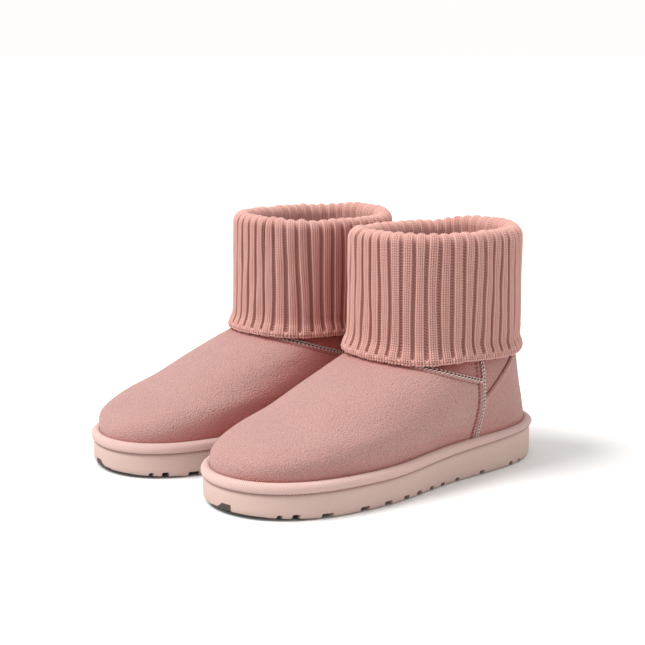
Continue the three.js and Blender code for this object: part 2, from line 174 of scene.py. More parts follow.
class Wall:
    """The outer face of the upper. Round the boot: 0 at the toe, 1 at the heel, minus inside."""

    def __init__(self):
        self.low = WELT_TOP - 1.0
        self.high = WELT_TOP + INSTEP_RISE * PLAIN_RISE
        self.heights = np.linspace(self.low, self.high, WALL_LEVELS)
        self.shares = np.linspace(0, 1, WALL_STEPS)
        self.table = np.array(
            [[self._side(side, z) for side in (1, -1)] for z in self.heights]
        )

    def _side(self, side, z):
        """Even steps from toe to heel along one side of the section at a height."""
        rise = (z - WELT_TOP) / INSTEP_RISE
        toe, heel, half, peak, blunt, free = (
            station(WALL_RISES, column, rise)
            for column in (WALL_TOE, WALL_HEEL, WALL_HALF, WALL_PEAK, WALL_BLUNT, WALL_FREE)
        )
        along = (1 - np.cos(np.linspace(0, np.pi, SIDE_STEPS))) / 2
        y = (toe + (heel - toe) * along) * SOLE_LENGTH / 2
        oval = np.clip(1 - np.abs(2 * along**peak - 1) ** blunt, 0, 1) ** (1 / blunt)
        low = sole_half(side, along, UPPER_INSET)
        high = side * half * SOLE_HALF_WIDTH * oval - 0.35 * TOE_INWARD * (1 - along) ** 2
        return even_chain(np.stack([low + (high - low) * free, y], 1), self.shares)

    def face(self, turn, z):
        """Points on the face, in mm."""
        turn, z = np.broadcast_arrays(np.asarray(turn, float), np.asarray(z, float))
        turn = np.where(turn > 1, turn - 2, np.where(turn < -1, turn + 2, turn))
        side = (turn < 0).astype(int)
        a = np.abs(turn) * (len(self.shares) - 1)
        b = (np.clip(z, self.low, self.high) - self.low) / (self.high - self.low)
        b = b * (len(self.heights) - 1)
        i = np.minimum(a.astype(int), len(self.shares) - 2)
        j = np.minimum(b.astype(int), len(self.heights) - 2)
        a, b = (a - i)[..., None], (b - j)[..., None]
        near = self.table[j, side, i] * (1 - a) + self.table[j, side, i + 1] * a
        far = self.table[j + 1, side, i] * (1 - a) + self.table[j + 1, side, i + 1] * a
        flat = near * (1 - b) + far * b
        return np.concatenate([flat, z[..., None]], -1)

    def normal(self, turn, z):
        """The way straight out of the face."""
        across = self.face(turn + 0.012, z) - self.face(turn - 0.012, z)
        up = self.face(turn, z + 0.4) - self.face(turn, z - 0.4)
        n = np.cross(across, up)
        return n / np.linalg.norm(n, axis=-1, keepdims=True)

    def point(self, turn, z, depth=0.0):
        """Points at a depth under the face."""
        return self.face(turn, z) - self.normal(turn, z) * np.asarray(depth)[..., None]

    def turns_at(self, side, y):
        """The places round the boot, one for each level, where a side stands at a given y."""
        row = 0 if side > 0 else 1
        return np.array([np.interp(y, level[row, :, 1], self.shares) for level in self.table])


WALL = Wall()


def vamp_top(y):
    """Height of the vamp's top edge, which runs up under the hem in front."""
    hidden = 1.1 * (1 - smooth(-8, 2.5, y))
    return WELT_TOP + VAMP_EDGE - VAMP_FALL * np.maximum(y, -5) + hidden


def counter_top(y):
    """Height of the heel counter's top edge."""
    climb = COUNTER_CLIMB * (y - SIDE_SEAM_Y)
    return WELT_TOP + COUNTER_EDGE + climb + 0.6 * smooth(39, 47, y)


def sole_rise(y):
    """How much thicker the sole is towards the heel."""
    return SOLE_HEEL_RISE * smooth(-25, 56, y)


def welt_rise(y):
    """How much higher the welt's crown runs towards the heel."""
    return WELT_HEEL_RISE * smooth(-30, 34, y)


def waves(turn, z, seed, size):
    """Slow soft unevenness of a sewn skin, in mm."""
    rng = np.random.default_rng(seed)
    total = 0
    for _ in range(6):
        round_it, up_it, start = rng.uniform(3, 9), rng.uniform(0.08, 0.28), rng.uniform(0, 6.3)
        total = total + np.sin(round_it * turn * 2 + up_it * z + start)
    return size * total / 6


# ---------------------------------------------------------------- meshes


def deselect():
    bpy.ops.object.select_all(action="DESELECT")


def only(obj):
    """Selects one object and makes it the active one."""
    deselect()
    bpy.context.view_layer.objects.active = obj
    obj.select_set(True)
    return obj


def grid_faces(rows, columns, wrap_rows=False, wrap_columns=False):
    """Quads of a grid whose columns run round the boot and whose rows run up it."""
    j = np.arange(rows if wrap_rows else rows - 1)
    i = np.arange(columns if wrap_columns else columns - 1)
    j, i = np.meshgrid(j, i, indexing="ij")
    right, up = (i + 1) % columns, (j + 1) % rows
    quad = [j * columns + i, j * columns + right, up * columns + right, up * columns + i]
    return np.stack(quad, -1).reshape(-1, 4)


def new_mesh(name, points, faces, uv=None, marks=None):
    """A mesh object from points in mm and quads, with a UV and point values of its own."""
    mesh = bpy.data.meshes.new(name)
    points = np.asarray(points, np.float32).reshape(-1, 3)
    faces = np.asarray(faces, np.int32)
    mesh.vertices.add(len(points))
    mesh.vertices.foreach_set("co", points.ravel())
    mesh.loops.add(faces.size)
    mesh.loops.foreach_set("vertex_index", faces.ravel())
    mesh.polygons.add(len(faces))
    mesh.polygons.foreach_set("loop_start", np.arange(0, faces.size, 4, dtype=np.int32))
    mesh.update(calc_edges=True)
    if uv is not None:
        layer = mesh.uv_layers.new(name="along")
        flat = np.asarray(uv, np.float32).reshape(-1, 2)[faces.ravel()]
        layer.data.foreach_set("uv", flat.ravel())
    for title, values in (marks or {}).items():
        layer = mesh.attributes.new(title, "FLOAT", "POINT")
        layer.data.foreach_set("value", np.asarray(values, np.float32).ravel())
    mesh.polygons.foreach_set("use_smooth", np.ones(len(faces), bool))
    obj = bpy.data.objects.new(name, mesh)
    bpy.context.scene.collection.objects.link(obj)
    return obj


def modify(obj, kind, **settings):
    """Adds a modifier and applies it."""
    only(obj)
    modifier = obj.modifiers.new(kind.title(), kind)
    for key, value in settings.items():
        setattr(modifier, key, value)
    bpy.ops.object.modifier_apply(modifier=modifier.name)
    return obj


def ring_stack(name, profile, count, closed=False, lift=None):
    """Extrudes the sole's outline through (inset, height) steps, as a solid or a closed ring."""
    deselect()
    bpy.ops.mesh.primitive_circle_add(
        vertices=count, radius=1, fill_type="NOTHING", calc_uvs=False
    )
    obj = bpy.context.object
    obj.name = name
    bpy.ops.object.mode_set(mode="EDIT")
    mesh = bmesh.from_edit_mesh(obj.data)
    place = mesh.verts.layers.int.new("place")
    level = mesh.verts.layers.int.new("level")
    for i, vert in enumerate(mesh.verts):
        vert[place] = i
    for step, (inset, height) in enumerate(profile):
        if step:
            bpy.ops.mesh.extrude_edges_move()
            mesh = bmesh.from_edit_mesh(obj.data)
            place, level = (mesh.verts.layers.int[key] for key in ("place", "level"))
        loop = outline(inset, count)
        for vert in mesh.verts:
            if vert.select:
                x, y = loop[vert[place]]
                vert.co = (x, y, height + (lift(y, inset, height) if lift else 0))
                vert[level] = step
    if closed:
        bpy.ops.mesh.select_all(action="DESELECT")
        bpy.ops.mesh.select_non_manifold()
        bpy.ops.mesh.bridge_edge_loops()
    else:
        for end in (0, len(profile) - 1):
            ring = sorted((v for v in mesh.verts if v[level] == end), key=lambda v: v[place])
            for i in range(count // 2):
                corners = [ring[i], ring[i + 1], ring[-i - 1], ring[-i % count]]
                mesh.faces.new(list(dict.fromkeys(corners)))
        bmesh.update_edit_mesh(obj.data)
    bpy.ops.mesh.select_all(action="SELECT")
    bpy.ops.mesh.normals_make_consistent(inside=False)
    bpy.ops.object.mode_set(mode="OBJECT")
    deselect()
    return obj


THREAD_FLATNESS = 0.75


def stitches(name, starts, ends, outs, radius, arch):
    """Short arched threads from starts to ends, standing out of the surface, in one mesh."""
    deselect()
    bpy.ops.mesh.primitive_uv_sphere_add(segments=8, ring_count=7, radius=1)
    seed = bpy.context.object
    unit = np.array([v.co[:] for v in seed.data.vertices])
    faces = [tuple(p.vertices) for p in seed.data.polygons]
    bpy.data.objects.remove(seed)
    starts, ends, outs = (np.asarray(a, float) for a in (starts, ends, outs))
    middle = (starts + ends) / 2
    along = (ends - starts) / 2
    reach = np.linalg.norm(along, axis=1, keepdims=True)
    across = np.cross(outs, along / reach)
    across /= np.linalg.norm(across, axis=1, keepdims=True)
    way = unit[:, 2]
    thick = np.sqrt(np.clip(1 - way**4, 0.02, 1)) / np.sqrt(np.clip(1 - way**2, 0.02, 1))
    sideways = unit[:, 0] * thick * radius
    upward = unit[:, 1] * thick * radius * THREAD_FLATNESS + arch * (1 - way**2)
    points = (
        middle[:, None]
        + along[:, None] * way[None, :, None]
        + across[:, None] * sideways[None, :, None]
        + outs[:, None] * upward[None, :, None]
    )
    mesh = bpy.data.meshes.new(name)
    many = [
        tuple(v + k * len(unit) for v in face) for k in range(len(starts)) for face in faces
    ]
    mesh.from_pydata(points.reshape(-1, 3).tolist(), [], many)
    mesh.polygons.foreach_set("use_smooth", np.ones(len(many), bool))
    obj = bpy.data.objects.new(name, mesh)
    bpy.context.scene.collection.objects.link(obj)
    only(obj)
    bpy.ops.object.mode_set(mode="EDIT")
    bpy.ops.mesh.select_all(action="SELECT")
    bpy.ops.mesh.normals_make_consistent(inside=False)
    bpy.ops.object.mode_set(mode="OBJECT")
    return obj


def pair_shift():
    """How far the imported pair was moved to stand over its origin, in mm."""
    low, high = (Vector(c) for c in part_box("left_outsole"))
    loop = outline(0, OUTLINE_STEPS)
    cosine, sine = math.cos(TOE_OUT), math.sin(TOE_OUT)
    turn = np.array([[cosine, -sine], [sine, cosine]])
    placed = loop @ turn.T + [PAIR_SPACING / 2, PAIR_STAGGER / 2]
    middle = (placed.min(0) + placed.max(0)) / 2
    return [(low[k] + high[k]) / 2 / MM - middle[k] for k in (0, 1)]


SHIFT = pair_shift()


def place_pair(template, material, nodes=()):
    """Copies a piece made for one boot to both, mirrors the right one and hands them over."""
    name = template.name
    for side, hand in (("left", 1), ("right", -1)):
        mesh = template.data.copy()
        mesh.name = f"{side}_{name}"
        x = (hand * PAIR_SPACING / 2 + SHIFT[0]) * MM
        y = (hand * PAIR_STAGGER / 2 + SHIFT[1]) * MM
        move = Matrix.Translation((x, y, 0))
        size = Matrix.Diagonal((hand * MM, MM, MM, 1))
        mesh.transform(move @ Matrix.Rotation(hand * TOE_OUT, 4, "Z") @ size)
        if hand < 0:
            mesh.flip_normals()
        obj = bpy.data.objects.new(f"{side}_{name}", mesh)
        bpy.context.scene.collection.objects.link(obj)
        mesh.materials.clear()
        mesh.materials.append(material)
        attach(obj, f"{side}_boot")
        if nodes:
            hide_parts(*[f"{side}_{node}" for node in nodes])
    bpy.data.objects.remove(template)


# ---------------------------------------------------------------- materials


class Value:
    """A socket that joins in Python sums; every sum adds its Math node."""

    def __init__(self, shader, socket):
        self.shader = shader
        self.socket = socket

    def _math(self, operation, first, second=None):
        inputs = {0: first} if second is None else {0: first, 1: second}
        node = self.shader.node("ShaderNodeMath", {"operation": operation}, inputs)
        return Value(self.shader, node.outputs[0])

    def __add__(self, other):
        return self._math("ADD", self, other)

    def __radd__(self, other):
        return self._math("ADD", other, self)

    def __sub__(self, other):
        return self._math("SUBTRACT", self, other)

    def __rsub__(self, other):
        return self._math("SUBTRACT", other, self)

    def __mul__(self, other):
        return self._math("MULTIPLY", self, other)

    def __rmul__(self, other):
        return self._math("MULTIPLY", other, self)

    def sine(self):
        return self._math("SINE", self)

    def clamped(self):
        node = self.shader.node("ShaderNodeClamp", {}, {0: self})
        return Value(self.shader, node.outputs[0])


class Shader:
    """A material whose nodes are added one call at a time."""

    def __init__(self, name):
        self.material = bpy.data.materials.new(name)
        self.material.use_nodes = True
        self.tree = self.material.node_tree
        self.tree.nodes.clear()

    def node(self, kind, settings=None, inputs=None):
        """Adds a node: its settings first, then the values or links of its sockets."""
        node = self.tree.nodes.new(kind)
        for key, value in (settings or {}).items():
            setattr(node, key, value)
        for key, value in (inputs or {}).items():
            if isinstance(value, Value):
                self.tree.links.new(value.socket, node.inputs[key])
            else:
                node.inputs[key].default_value = value
        return node

    def value(self, kind, settings=None, inputs=None, output=0):
        """Adds a node and gives one of its outputs."""
        return Value(self, self.node(kind, settings, inputs).outputs[output])

    def place(self):
        return self.value("ShaderNodeTexCoord", output="Object")

    def uv(self):
        return self.value("ShaderNodeTexCoord", output="UV")

    def parts(self, vector):
        node = self.node("ShaderNodeSeparateXYZ", {}, {0: vector})
        return [Value(self, node.outputs[k]) for k in range(3)]

    def noise(self, vector, scale, detail=2.0, roughness=0.5):
        inputs = {"Vector": vector, "Scale": scale, "Detail": detail, "Roughness": roughness}
        return self.value("ShaderNodeTexNoise", {}, inputs, "Fac")

    def cells(self, vector, scale, feature="F1", smoothness=None):
        inputs = {"Vector": vector, "Scale": scale}
        if smoothness is not None:
            inputs["Smoothness"] = smoothness
        return self.value("ShaderNodeTexVoronoi", {"feature": feature}, inputs, "Distance")

    def occlusion_share(self, reach):
        """Ambient occlusion, 0 in the open to 1 between near surfaces, used to paint shade and
        bounce light.
        """
        return 1.0 - self.value("ShaderNodeAmbientOcclusion", {}, {"Distance": reach}, "AO")

    def mark(self, title):
        return self.value("ShaderNodeAttribute", {"attribute_name": title}, {}, "Fac")

    def mix(self, share, first, second):
        """A colour between two colours."""
        inputs = {0: share, 6: first, 7: second}
        return self.value("ShaderNodeMix", {"data_type": "RGBA"}, inputs, 2)

    def bump(self, height, distance, strength):
        inputs = {"Height": height, "Distance": distance, "Strength": strength}
        return self.value("ShaderNodeBump", {}, inputs)

    def finish(self, colour, roughness, normal, **fixed):
        """Joins colour, roughness and normal to the surface; fixed values sit on its sockets."""
        inputs = {"Base Color": colour, "Roughness": roughness, "Normal": normal}
        for key, value in fixed.items():
            inputs[key.replace("_", " ").title().replace("Ior", "IOR")] = value
        surface = self.value("ShaderNodeBsdfPrincipled", {}, inputs)
        self.node("ShaderNodeOutputMaterial", {}, {"Surface": surface})
        return self.material


def tint(colour, factor):
    """A colour made lighter or darker, with full alpha."""
    return tuple(min(1.0, c * factor) for c in colour[:3]) + (1.0,)


def bounce_tint(colour, red, green, blue):
    """The colour painted on a surface between others like it: painted shade and bounce light."""
    return (colour[0] * red, colour[1] * green, colour[2] * blue, 1.0)


def ridges(place, pitch):
    """Even ridges, 0 to 1, along a place in metres."""
    return (place * (2 * math.pi / pitch)).sine() * 0.5 + 0.5


def suede(name, colour):
    """Fine-grained nubuck: pebbled grain over a soft mottled dye, with painted shade and bounce
    light near other surfaces.
    """
    s = Shader(name)
    place = s.place()
    mottle = s.noise(place, scale=70, detail=3)
    speck = s.noise(place, scale=2600, detail=2, roughness=0.6)
    pebble = s.cells(place, scale=1900, feature="SMOOTH_F1", smoothness=0.4)
    shade = s.mix(mottle, tint(colour, 0.93), tint(colour, 1.06))
    shade = s.mix((speck - 0.5) * 1.7 + pebble * 0.7, shade, tint(colour, 0.62))
    # Painted shade and bounce light: a deeper red where other surfaces lie near
    painted_bounce = bounce_tint(colour, 1.08, 0.54, 0.52)
    shade = s.mix(((s.occlusion_share(0.03) - 0.16) * 1.5).clamped(), shade, painted_bounce)
    height = pebble * -0.8 + speck * 0.5
    normal = s.bump(height, distance=0.0006, strength=0.85)
    sheen = {"sheen_weight": 0.4, "sheen_roughness": 0.4, "sheen_tint": (1.0, 0.85, 0.82, 1.0)}
    return s.finish(shade, 0.78 + speck * 0.12, normal, specular_ior_level=0.3, **sheen)


def knit(name, colour, furrow):
    """Rib knit: painted shade in its furrows and gaps, painted bounce light; fibres stand along
    each yarn.
    """
    s = Shader(name)
    place = s.place()
    u, v, _ = s.parts(s.uv())
    deep = s.mark("furrow")
    yarn = s.value("ShaderNodeCombineXYZ", {}, {0: u * 900.0, 1: v * 260.0})
    heather = s.noise(yarn, scale=1.0, detail=3, roughness=0.6)
    mottle = s.noise(place, scale=110, detail=2)
    fuzz = s.noise(place, scale=3800, detail=2, roughness=0.65)
    shade = s.mix(heather, tint(colour, 0.84), tint(colour, 1.14))
    shade = s.mix((mottle - 0.35) * 0.5, shade, tint(colour, 1.1))
    # Painted shade and bounce light: a deeper red where other surfaces lie near
    painted_bounce = bounce_tint(colour, 1.22, 0.66, 0.58)
    shade = s.mix(((s.occlusion_share(0.04) - 0.3) * 1.2).clamped(), shade, painted_bounce)
    # Painted shade: the furrow mark darkens the yarn towards the near-black furrow colour
    shade = s.mix((deep * 0.95).clamped(), shade, furrow)
    height = fuzz * 0.6 + heather * 0.4
    normal = s.bump(height, distance=0.00016, strength=0.6)
    sheen = {"sheen_weight": 0.35, "sheen_roughness": 0.5, "sheen_tint": (1.0, 0.85, 0.8, 1.0)}
    return s.finish(shade, 0.92 - fuzz * 0.08, normal, specular_ior_level=0.2, **sheen)


def foam(name, colour):
    """Moulded foam of the sole unit: matte, faintly pored, a little darker low down, with painted
    shade in the notches.
    """
    s = Shader(name)
    place = s.place()
    _, _, z = s.parts(place)
    pore = s.cells(place, scale=2300)
    cloud = s.noise(place, scale=55, detail=3)
    grain = s.noise(place, scale=900, detail=3, roughness=0.6)
    low = (1.0 - z * 260.0).clamped()
    shade = s.mix(cloud, tint(colour, 0.95), tint(colour, 1.05))
    shade = s.mix(low * 0.35, shade, tint(colour, 0.86))
    shade = s.mix(grain * 0.18, shade, tint(colour, 0.82))
    # Painted shade: the insides of the tread's notches go near-black
    shade = s.mix((s.mark("notch_shade") * 5.0).clamped(), shade, tint(colour, 0.1))
    normal = s.bump(pore * 0.5 + grain, distance=0.00009, strength=0.5)
    return s.finish(shade, 0.56 + grain * 0.16, normal, specular_ior_level=0.4)


def twill(name, colour):
    """Diagonal twill that covers the welt."""
    s = Shader(name)
    u, v, _ = s.parts(s.uv())
    place = s.place()
    line = ridges(u + v * 0.9, 0.0008)
    step = ridges(u - v * 0.5, 0.0007)
    cloud = s.noise(place, scale=120, detail=2)
    fuzz = s.noise(place, scale=3000, detail=2, roughness=0.6)
    weave = line * 0.75 + step * line * 0.25
    shade = s.mix(weave, tint(colour, 0.72), tint(colour, 1.12))
    shade = s.mix(cloud * 0.3, shade, tint(colour, 1.12))
    normal = s.bump(weave + fuzz * 0.3, distance=0.0003, strength=0.8)
    sheen = {"sheen_weight": 0.2, "sheen_roughness": 0.5}
    return s.finish(shade, 0.8 + fuzz * 0.1, normal, specular_ior_level=0.3, **sheen)


def thread(name, colour):
    """Plied sewing thread."""
    s = Shader(name)
    place = s.place()
    x, y, z = s.parts(place)
    ply = ridges(x + y + z * 1.7, 0.0005)
    cloud = s.noise(place, scale=600, detail=2)
    shade = s.mix(cloud, tint(colour, 0.78), tint(colour, 1.12))
    shade = s.mix(ply * 0.3, shade, tint(colour, 0.7))
    normal = s.bump(ply, distance=0.00008, strength=0.5)
    return s.finish(shade, 0.7 + cloud * 0.15, normal, sheen_weight=0.3)


def fleece(name, colour):
    """Short curly pile."""
    s = Shader(name)
    place = s.place()
    curl = s.cells(place, scale=620, feature="SMOOTH_F1", smoothness=0.6)
    fuzz = s.noise(place, scale=2600, detail=3, roughness=0.7)
    cloud = s.noise(place, scale=90, detail=2)
    shade = s.mix(cloud, tint(colour, 0.92), tint(colour, 1.08))
    shade = s.mix(curl * 0.7, shade, tint(colour, 0.72))
    normal = s.bump(fuzz * 0.7 - curl, distance=0.0006, strength=0.8)
    return s.finish(shade, 0.95 - fuzz * 0.05, normal, sheen_weight=0.6, sheen_roughness=0.6)


def board(name, colour):
    """Pressed leatherboard: short fibres in a dull sheet."""
    s = Shader(name)
    place = s.place()
    fibre = s.noise(place, scale=1400, detail=4, roughness=0.7)
    cloud = s.noise(place, scale=130, detail=3)
    shade = s.mix(cloud, tint(colour, 0.85), tint(colour, 1.1))
    shade = s.mix(fibre * 0.5, shade, tint(colour, 0.65))
    return s.finish(shade, 0.85 + fibre * 0.1, s.bump(fibre, distance=0.0001, strength=0.6))


# ---------------------------------------------------------------- sole, welt, boards


def lay_band_uv(obj, count, profile):
    """A UV round the ring and across its profile, both in metres."""
    mesh = obj.data
    place = np.array([a.value for a in mesh.attributes["place"].data])
    loop = outline(0, count)
    steps = np.hypot(*(np.roll(loop, -1, axis=0) - loop).T)
    way = np.concatenate([[0], np.cumsum(steps)])
    profile = np.array(profile)
    length = np.concatenate([[0], np.cumsum(np.hypot(*np.diff(profile, axis=0).T))])
    across = length[[a.value for a in mesh.attributes["level"].data]]
    layer = mesh.uv_layers.new(name="along")
    for face in mesh.polygons:
        places = [place[v] for v in face.vertices]
        wrapped = max(places) - min(places) > count // 2
        for corner, vert in zip(face.loop_indices, face.vertices):
            turn = count if wrapped and place[vert] == 0 else place[vert]
            layer.data[corner].uv = (way[turn] * MM, across[vert] * MM)


def sole_lift(y, inset, height):
    """The sole curls off the floor under the toe and thickens towards the heel."""
    away = max(0.0, -SOLE_LENGTH / 2 + TOE_CURL_REACH - y) / TOE_CURL_REACH
    curl = TOE_CURL * away * (1 - float(smooth(0, 7.5, height)))
    return curl + (float(sole_rise(y)) * height / SOLE_HEIGHT if inset < 2.5 else 0)


def welt_lift(y, inset, height):
    """The welt follows the sole, and is flatter at the heel."""
    if inset > 2.5:
        return 0
    share = float(smooth(9.2, 12.8, height))
    return float(sole_rise(y)) * (1 - share) + float(welt_rise(y)) * share


# The sole's edge and the welt's round band: insets from the outline and heights
SOLE_PROFILE = [
    (1.7, 0), (0.85, 0.1), (0.34, 0.42), (0.08, 0.95), (0, 1.8), (0, 3.4), (0, 5.2),
    (0.03, 6.8), (0.12, 7.8), (0.4, 8.6), (0.85, 8.98), (2.0, 9.1), (3.8, 9.1),
]
WELT_PROFILE = [
    (1.2, 9.2), (0.3, 9.22), (-0.22, 9.42), (-0.52, 9.85), (-0.64, 10.4), (-0.66, 11),
    (-0.55, 11.6), (-0.3, 12.1), (0.1, 12.5), (0.6, 12.74), (1.2, 12.82), (1.7, 12.72),
    (2.1, 12.42), (2.4, 12.2), (6, 12.1), (6, 9.5),
]
# The tread's notches from the toe: place, share of the wide or the narrow width, share of depth
WIDE_NOTCHES = [
    (-60.8, 0.4, 0.8), (-56.6, 0.62, 1), (-46.9, 1.1, 1), (-32.9, 1, 1), (-22.9, 0.9, 1),
    (-14.1, 0.75, 1), (-7.2, 0.7, 1), (-0.2, 0.65, 0.95),
]
NARROW_NOTCHES = [
    (6.1, 1, 0.9), (14.1, 1, 0.9), (27.0, 1.2, 1), (43.4, 1, 1), (49.2, 1, 0.8),
]
# The welt's stitches: name, inset, height, and the way they stand out, sideways and up
WELT_ROWS = (("upper", 2.02, 12.55, 0.5, 0.8), ("lower", -0.02, 9.26, 1, 0))
SOLE_STEPS = 240
WELT_STEPS = 300
WELT_STITCHES = 320


def make_sole(sizes, colours):
    sole = ring_stack("sole_unit", SOLE_PROFILE, SOLE_STEPS, lift=sole_lift)
    deselect()
    bpy.ops.mesh.primitive_cube_add(size=0.5, location=(200, 0, 0))
    cutter = bpy.context.object
    bpy.ops.object.mode_set(mode="EDIT")
    bpy.ops.mesh.delete(type="VERT")
    beyond = 20  # how far a cutter stands out past the sole's edge
    notches = [(y, sizes.wide_notch / MM * wide, deep) for y, wide, deep in WIDE_NOTCHES]
    notches += [(y, sizes.narrow_notch / MM * wide, deep) for y, wide, deep in NARROW_NOTCHES]
    for y, width, share in notches:
        tall = 2 * (sizes.notch_depth / MM * share + sole_lift(y, 0, 0))
        for side in (1, -1):
            rim = float(sole_half(side, y / SOLE_LENGTH + 0.5, 0))
            size = (NOTCH_REACH + beyond, width, tall)
            spot = (rim + side * (beyond - NOTCH_REACH) / 2, y, 0)
            bpy.ops.mesh.primitive_cube_add(size=1, location=spot, scale=size)
        mesh = bmesh.from_edit_mesh(cutter.data)
        for edge in mesh.edges:
            ends = [v.co for v in edge.verts]
            across = abs(ends[0].x - ends[1].x) > 1
            edge.select = across and all(v.z > 0 and abs(v.y - y) < width for v in ends)
        bmesh.update_edit_mesh(cutter.data)
        bpy.ops.mesh.bevel(offset=min(0.55, width * 0.3), segments=3, affect="EDGES")
    bpy.ops.object.mode_set(mode="OBJECT")
    modify(sole, "BOOLEAN", operation="DIFFERENCE", object=cutter, solver="EXACT")
    bpy.data.objects.remove(cutter)
    # Painted shade: marks where the tread's notches go deep, for the foam to paint near-black
    notch_shade = sole.data.attributes.new("notch_shade", "FLOAT", "POINT")
    for vert, mark in zip(sole.data.vertices, notch_shade.data):
        x, y, z = vert.co
        rim = sole_half(1 if x > 0 else -1, y / SOLE_LENGTH + 0.5, 0)
        mark.value = 0.3 < z < 3 and abs(rim - x) > 1.5
    only(sole)
    bpy.ops.object.shade_smooth_by_angle(angle=math.radians(38))
    place_pair(sole, foam("sole_foam", colours.foam), ["outsole"])


def make_welt(colours):
    band = ring_stack("twill_welt", WELT_PROFILE, WELT_STEPS, closed=True, lift=welt_lift)
    lay_band_uv(band, WELT_STEPS, WELT_PROFILE)
    only(band)
    bpy.ops.object.shade_smooth_by_angle(angle=math.radians(50))
    place_pair(band, twill("welt_twill", colours.welt), ["welt"])
    seam = thread("welt_thread", colours.welt_thread)
    for title, inset, height, sideways, upward in WELT_ROWS:
        loop = outline(inset, WELT_STITCHES)
        loop = np.array([(x, y, height + welt_lift(y, inset, height)) for x, y in loop])
        ahead = np.roll(loop, -1, axis=0) - loop
        side = np.stack([ahead[:, 1], -ahead[:, 0]], 1)
        side /= np.linalg.norm(side, axis=1, keepdims=True)
        out = np.hstack([side * sideways, np.full((len(loop), 1), upward)])
        row = stitches(f"welt_row_{title}", loop, loop + ahead * 0.72, out, radius=0.2, arch=0.08)
        place_pair(row, seam)


def dress_boards(colours):
    """Gives the stiff parts inside the boot their materials; their shapes stay as packed."""
    dull = board("pressed_board", colours.board)
    stiff = board("stiffener_sheet", colours.stiffener)
    sheets = (("insole_board", dull), ("toe_puff", stiff), ("heel_stiffener", stiff))
    for side in ("left", "right"):
        for node, material in sheets:
            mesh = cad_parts[f"{side}_{node}"].data
            for k in range(len(mesh.materials)):
                mesh.materials[k] = material
            if not mesh.materials:
                mesh.materials.append(material)


def pile_up(obj, verts, size, strength):
    """Curls a fleece face, given by its vertices, with a soft cell pattern."""
    pile = obj.vertex_groups.new(name="pile")
    pile.add(verts, 1.0, "REPLACE")
    texture = bpy.data.textures.new("curl", "VORONOI")
    texture.noise_scale = size
    modify(
        obj, "DISPLACE", texture=texture, strength=strength, mid_level=0.5, vertex_group="pile"
    )


def make_footbed(colours):
    top = FOOTBED_BOTTOM + FOOTBED_HEIGHT
    inset = FOOTBED_INSET
    profile = [
        (inset + 0.8, FOOTBED_BOTTOM), (inset + 0.2, FOOTBED_BOTTOM + 0.3),
        (inset, FOOTBED_BOTTOM + 0.9), (inset, top - 1.2), (inset + 0.35, top - 0.45),
        (inset + 1.1, top - 0.05), (inset + 2.2, top + 0.05), (inset + 4, top - 0.1),
        (inset + 7, top - 0.3), (inset + 11, top - 0.45),
    ]
    bed = ring_stack("fleece_footbed", profile, count=160)
    only(bed)
    bpy.ops.object.mode_set(mode="EDIT")
    bpy.ops.mesh.select_all(action="DESELECT")
    mesh = bmesh.from_edit_mesh(bed.data)
    for face in mesh.faces:
        if face.normal.z > 0.5:
            face.select = True
    bmesh.update_edit_mesh(bed.data)
    bpy.ops.mesh.subdivide(number_cuts=3)
    bpy.ops.object.mode_set(mode="OBJECT")
    pile_up(bed, [v.index for v in bed.data.vertices if v.co.z > top - 0.6], 1.7, 0.7)
    only(bed)
    bpy.ops.object.shade_smooth()
    place_pair(bed, fleece("fleece_pile", colours.fleece), ["footbed"])


def make_lining(colours):
    rows, columns = 96, 300
    low = FOOTBED_BOTTOM + 1.6
    turn = np.linspace(-1, 1, columns + 1)[:-1]
    up = np.linspace(low, LINING_TOP, rows)
    skin_depth, pile_depth = (
        np.full((rows, columns), LINING_DEPTH + depth) for depth in (0.05, LINING - 0.25)
    )
    inner = WALL.point(turn[None], up[:, None], pile_depth)
    outer = WALL.point(turn[None], up[::-1, None], skin_depth)
    points = np.concatenate([inner[:, ::-1], outer[:, ::-1]])
    faces = grid_faces(2 * rows, columns, wrap_rows=True, wrap_columns=True)
    sheet = new_mesh("fleece_lining", points, faces)
    pile_up(sheet, list(range(columns, (rows - 1) * columns)), 1.6, 0.6)
    only(sheet)
    bpy.ops.object.shade_smooth()
    place_pair(sheet, fleece("lining_pile", colours.fleece), ["lining"])


# ---------------------------------------------------------------- the upper's skins


# How finely a panel is read, up it and across it
PANEL_RISES = 160
PANEL_STEPS = 500


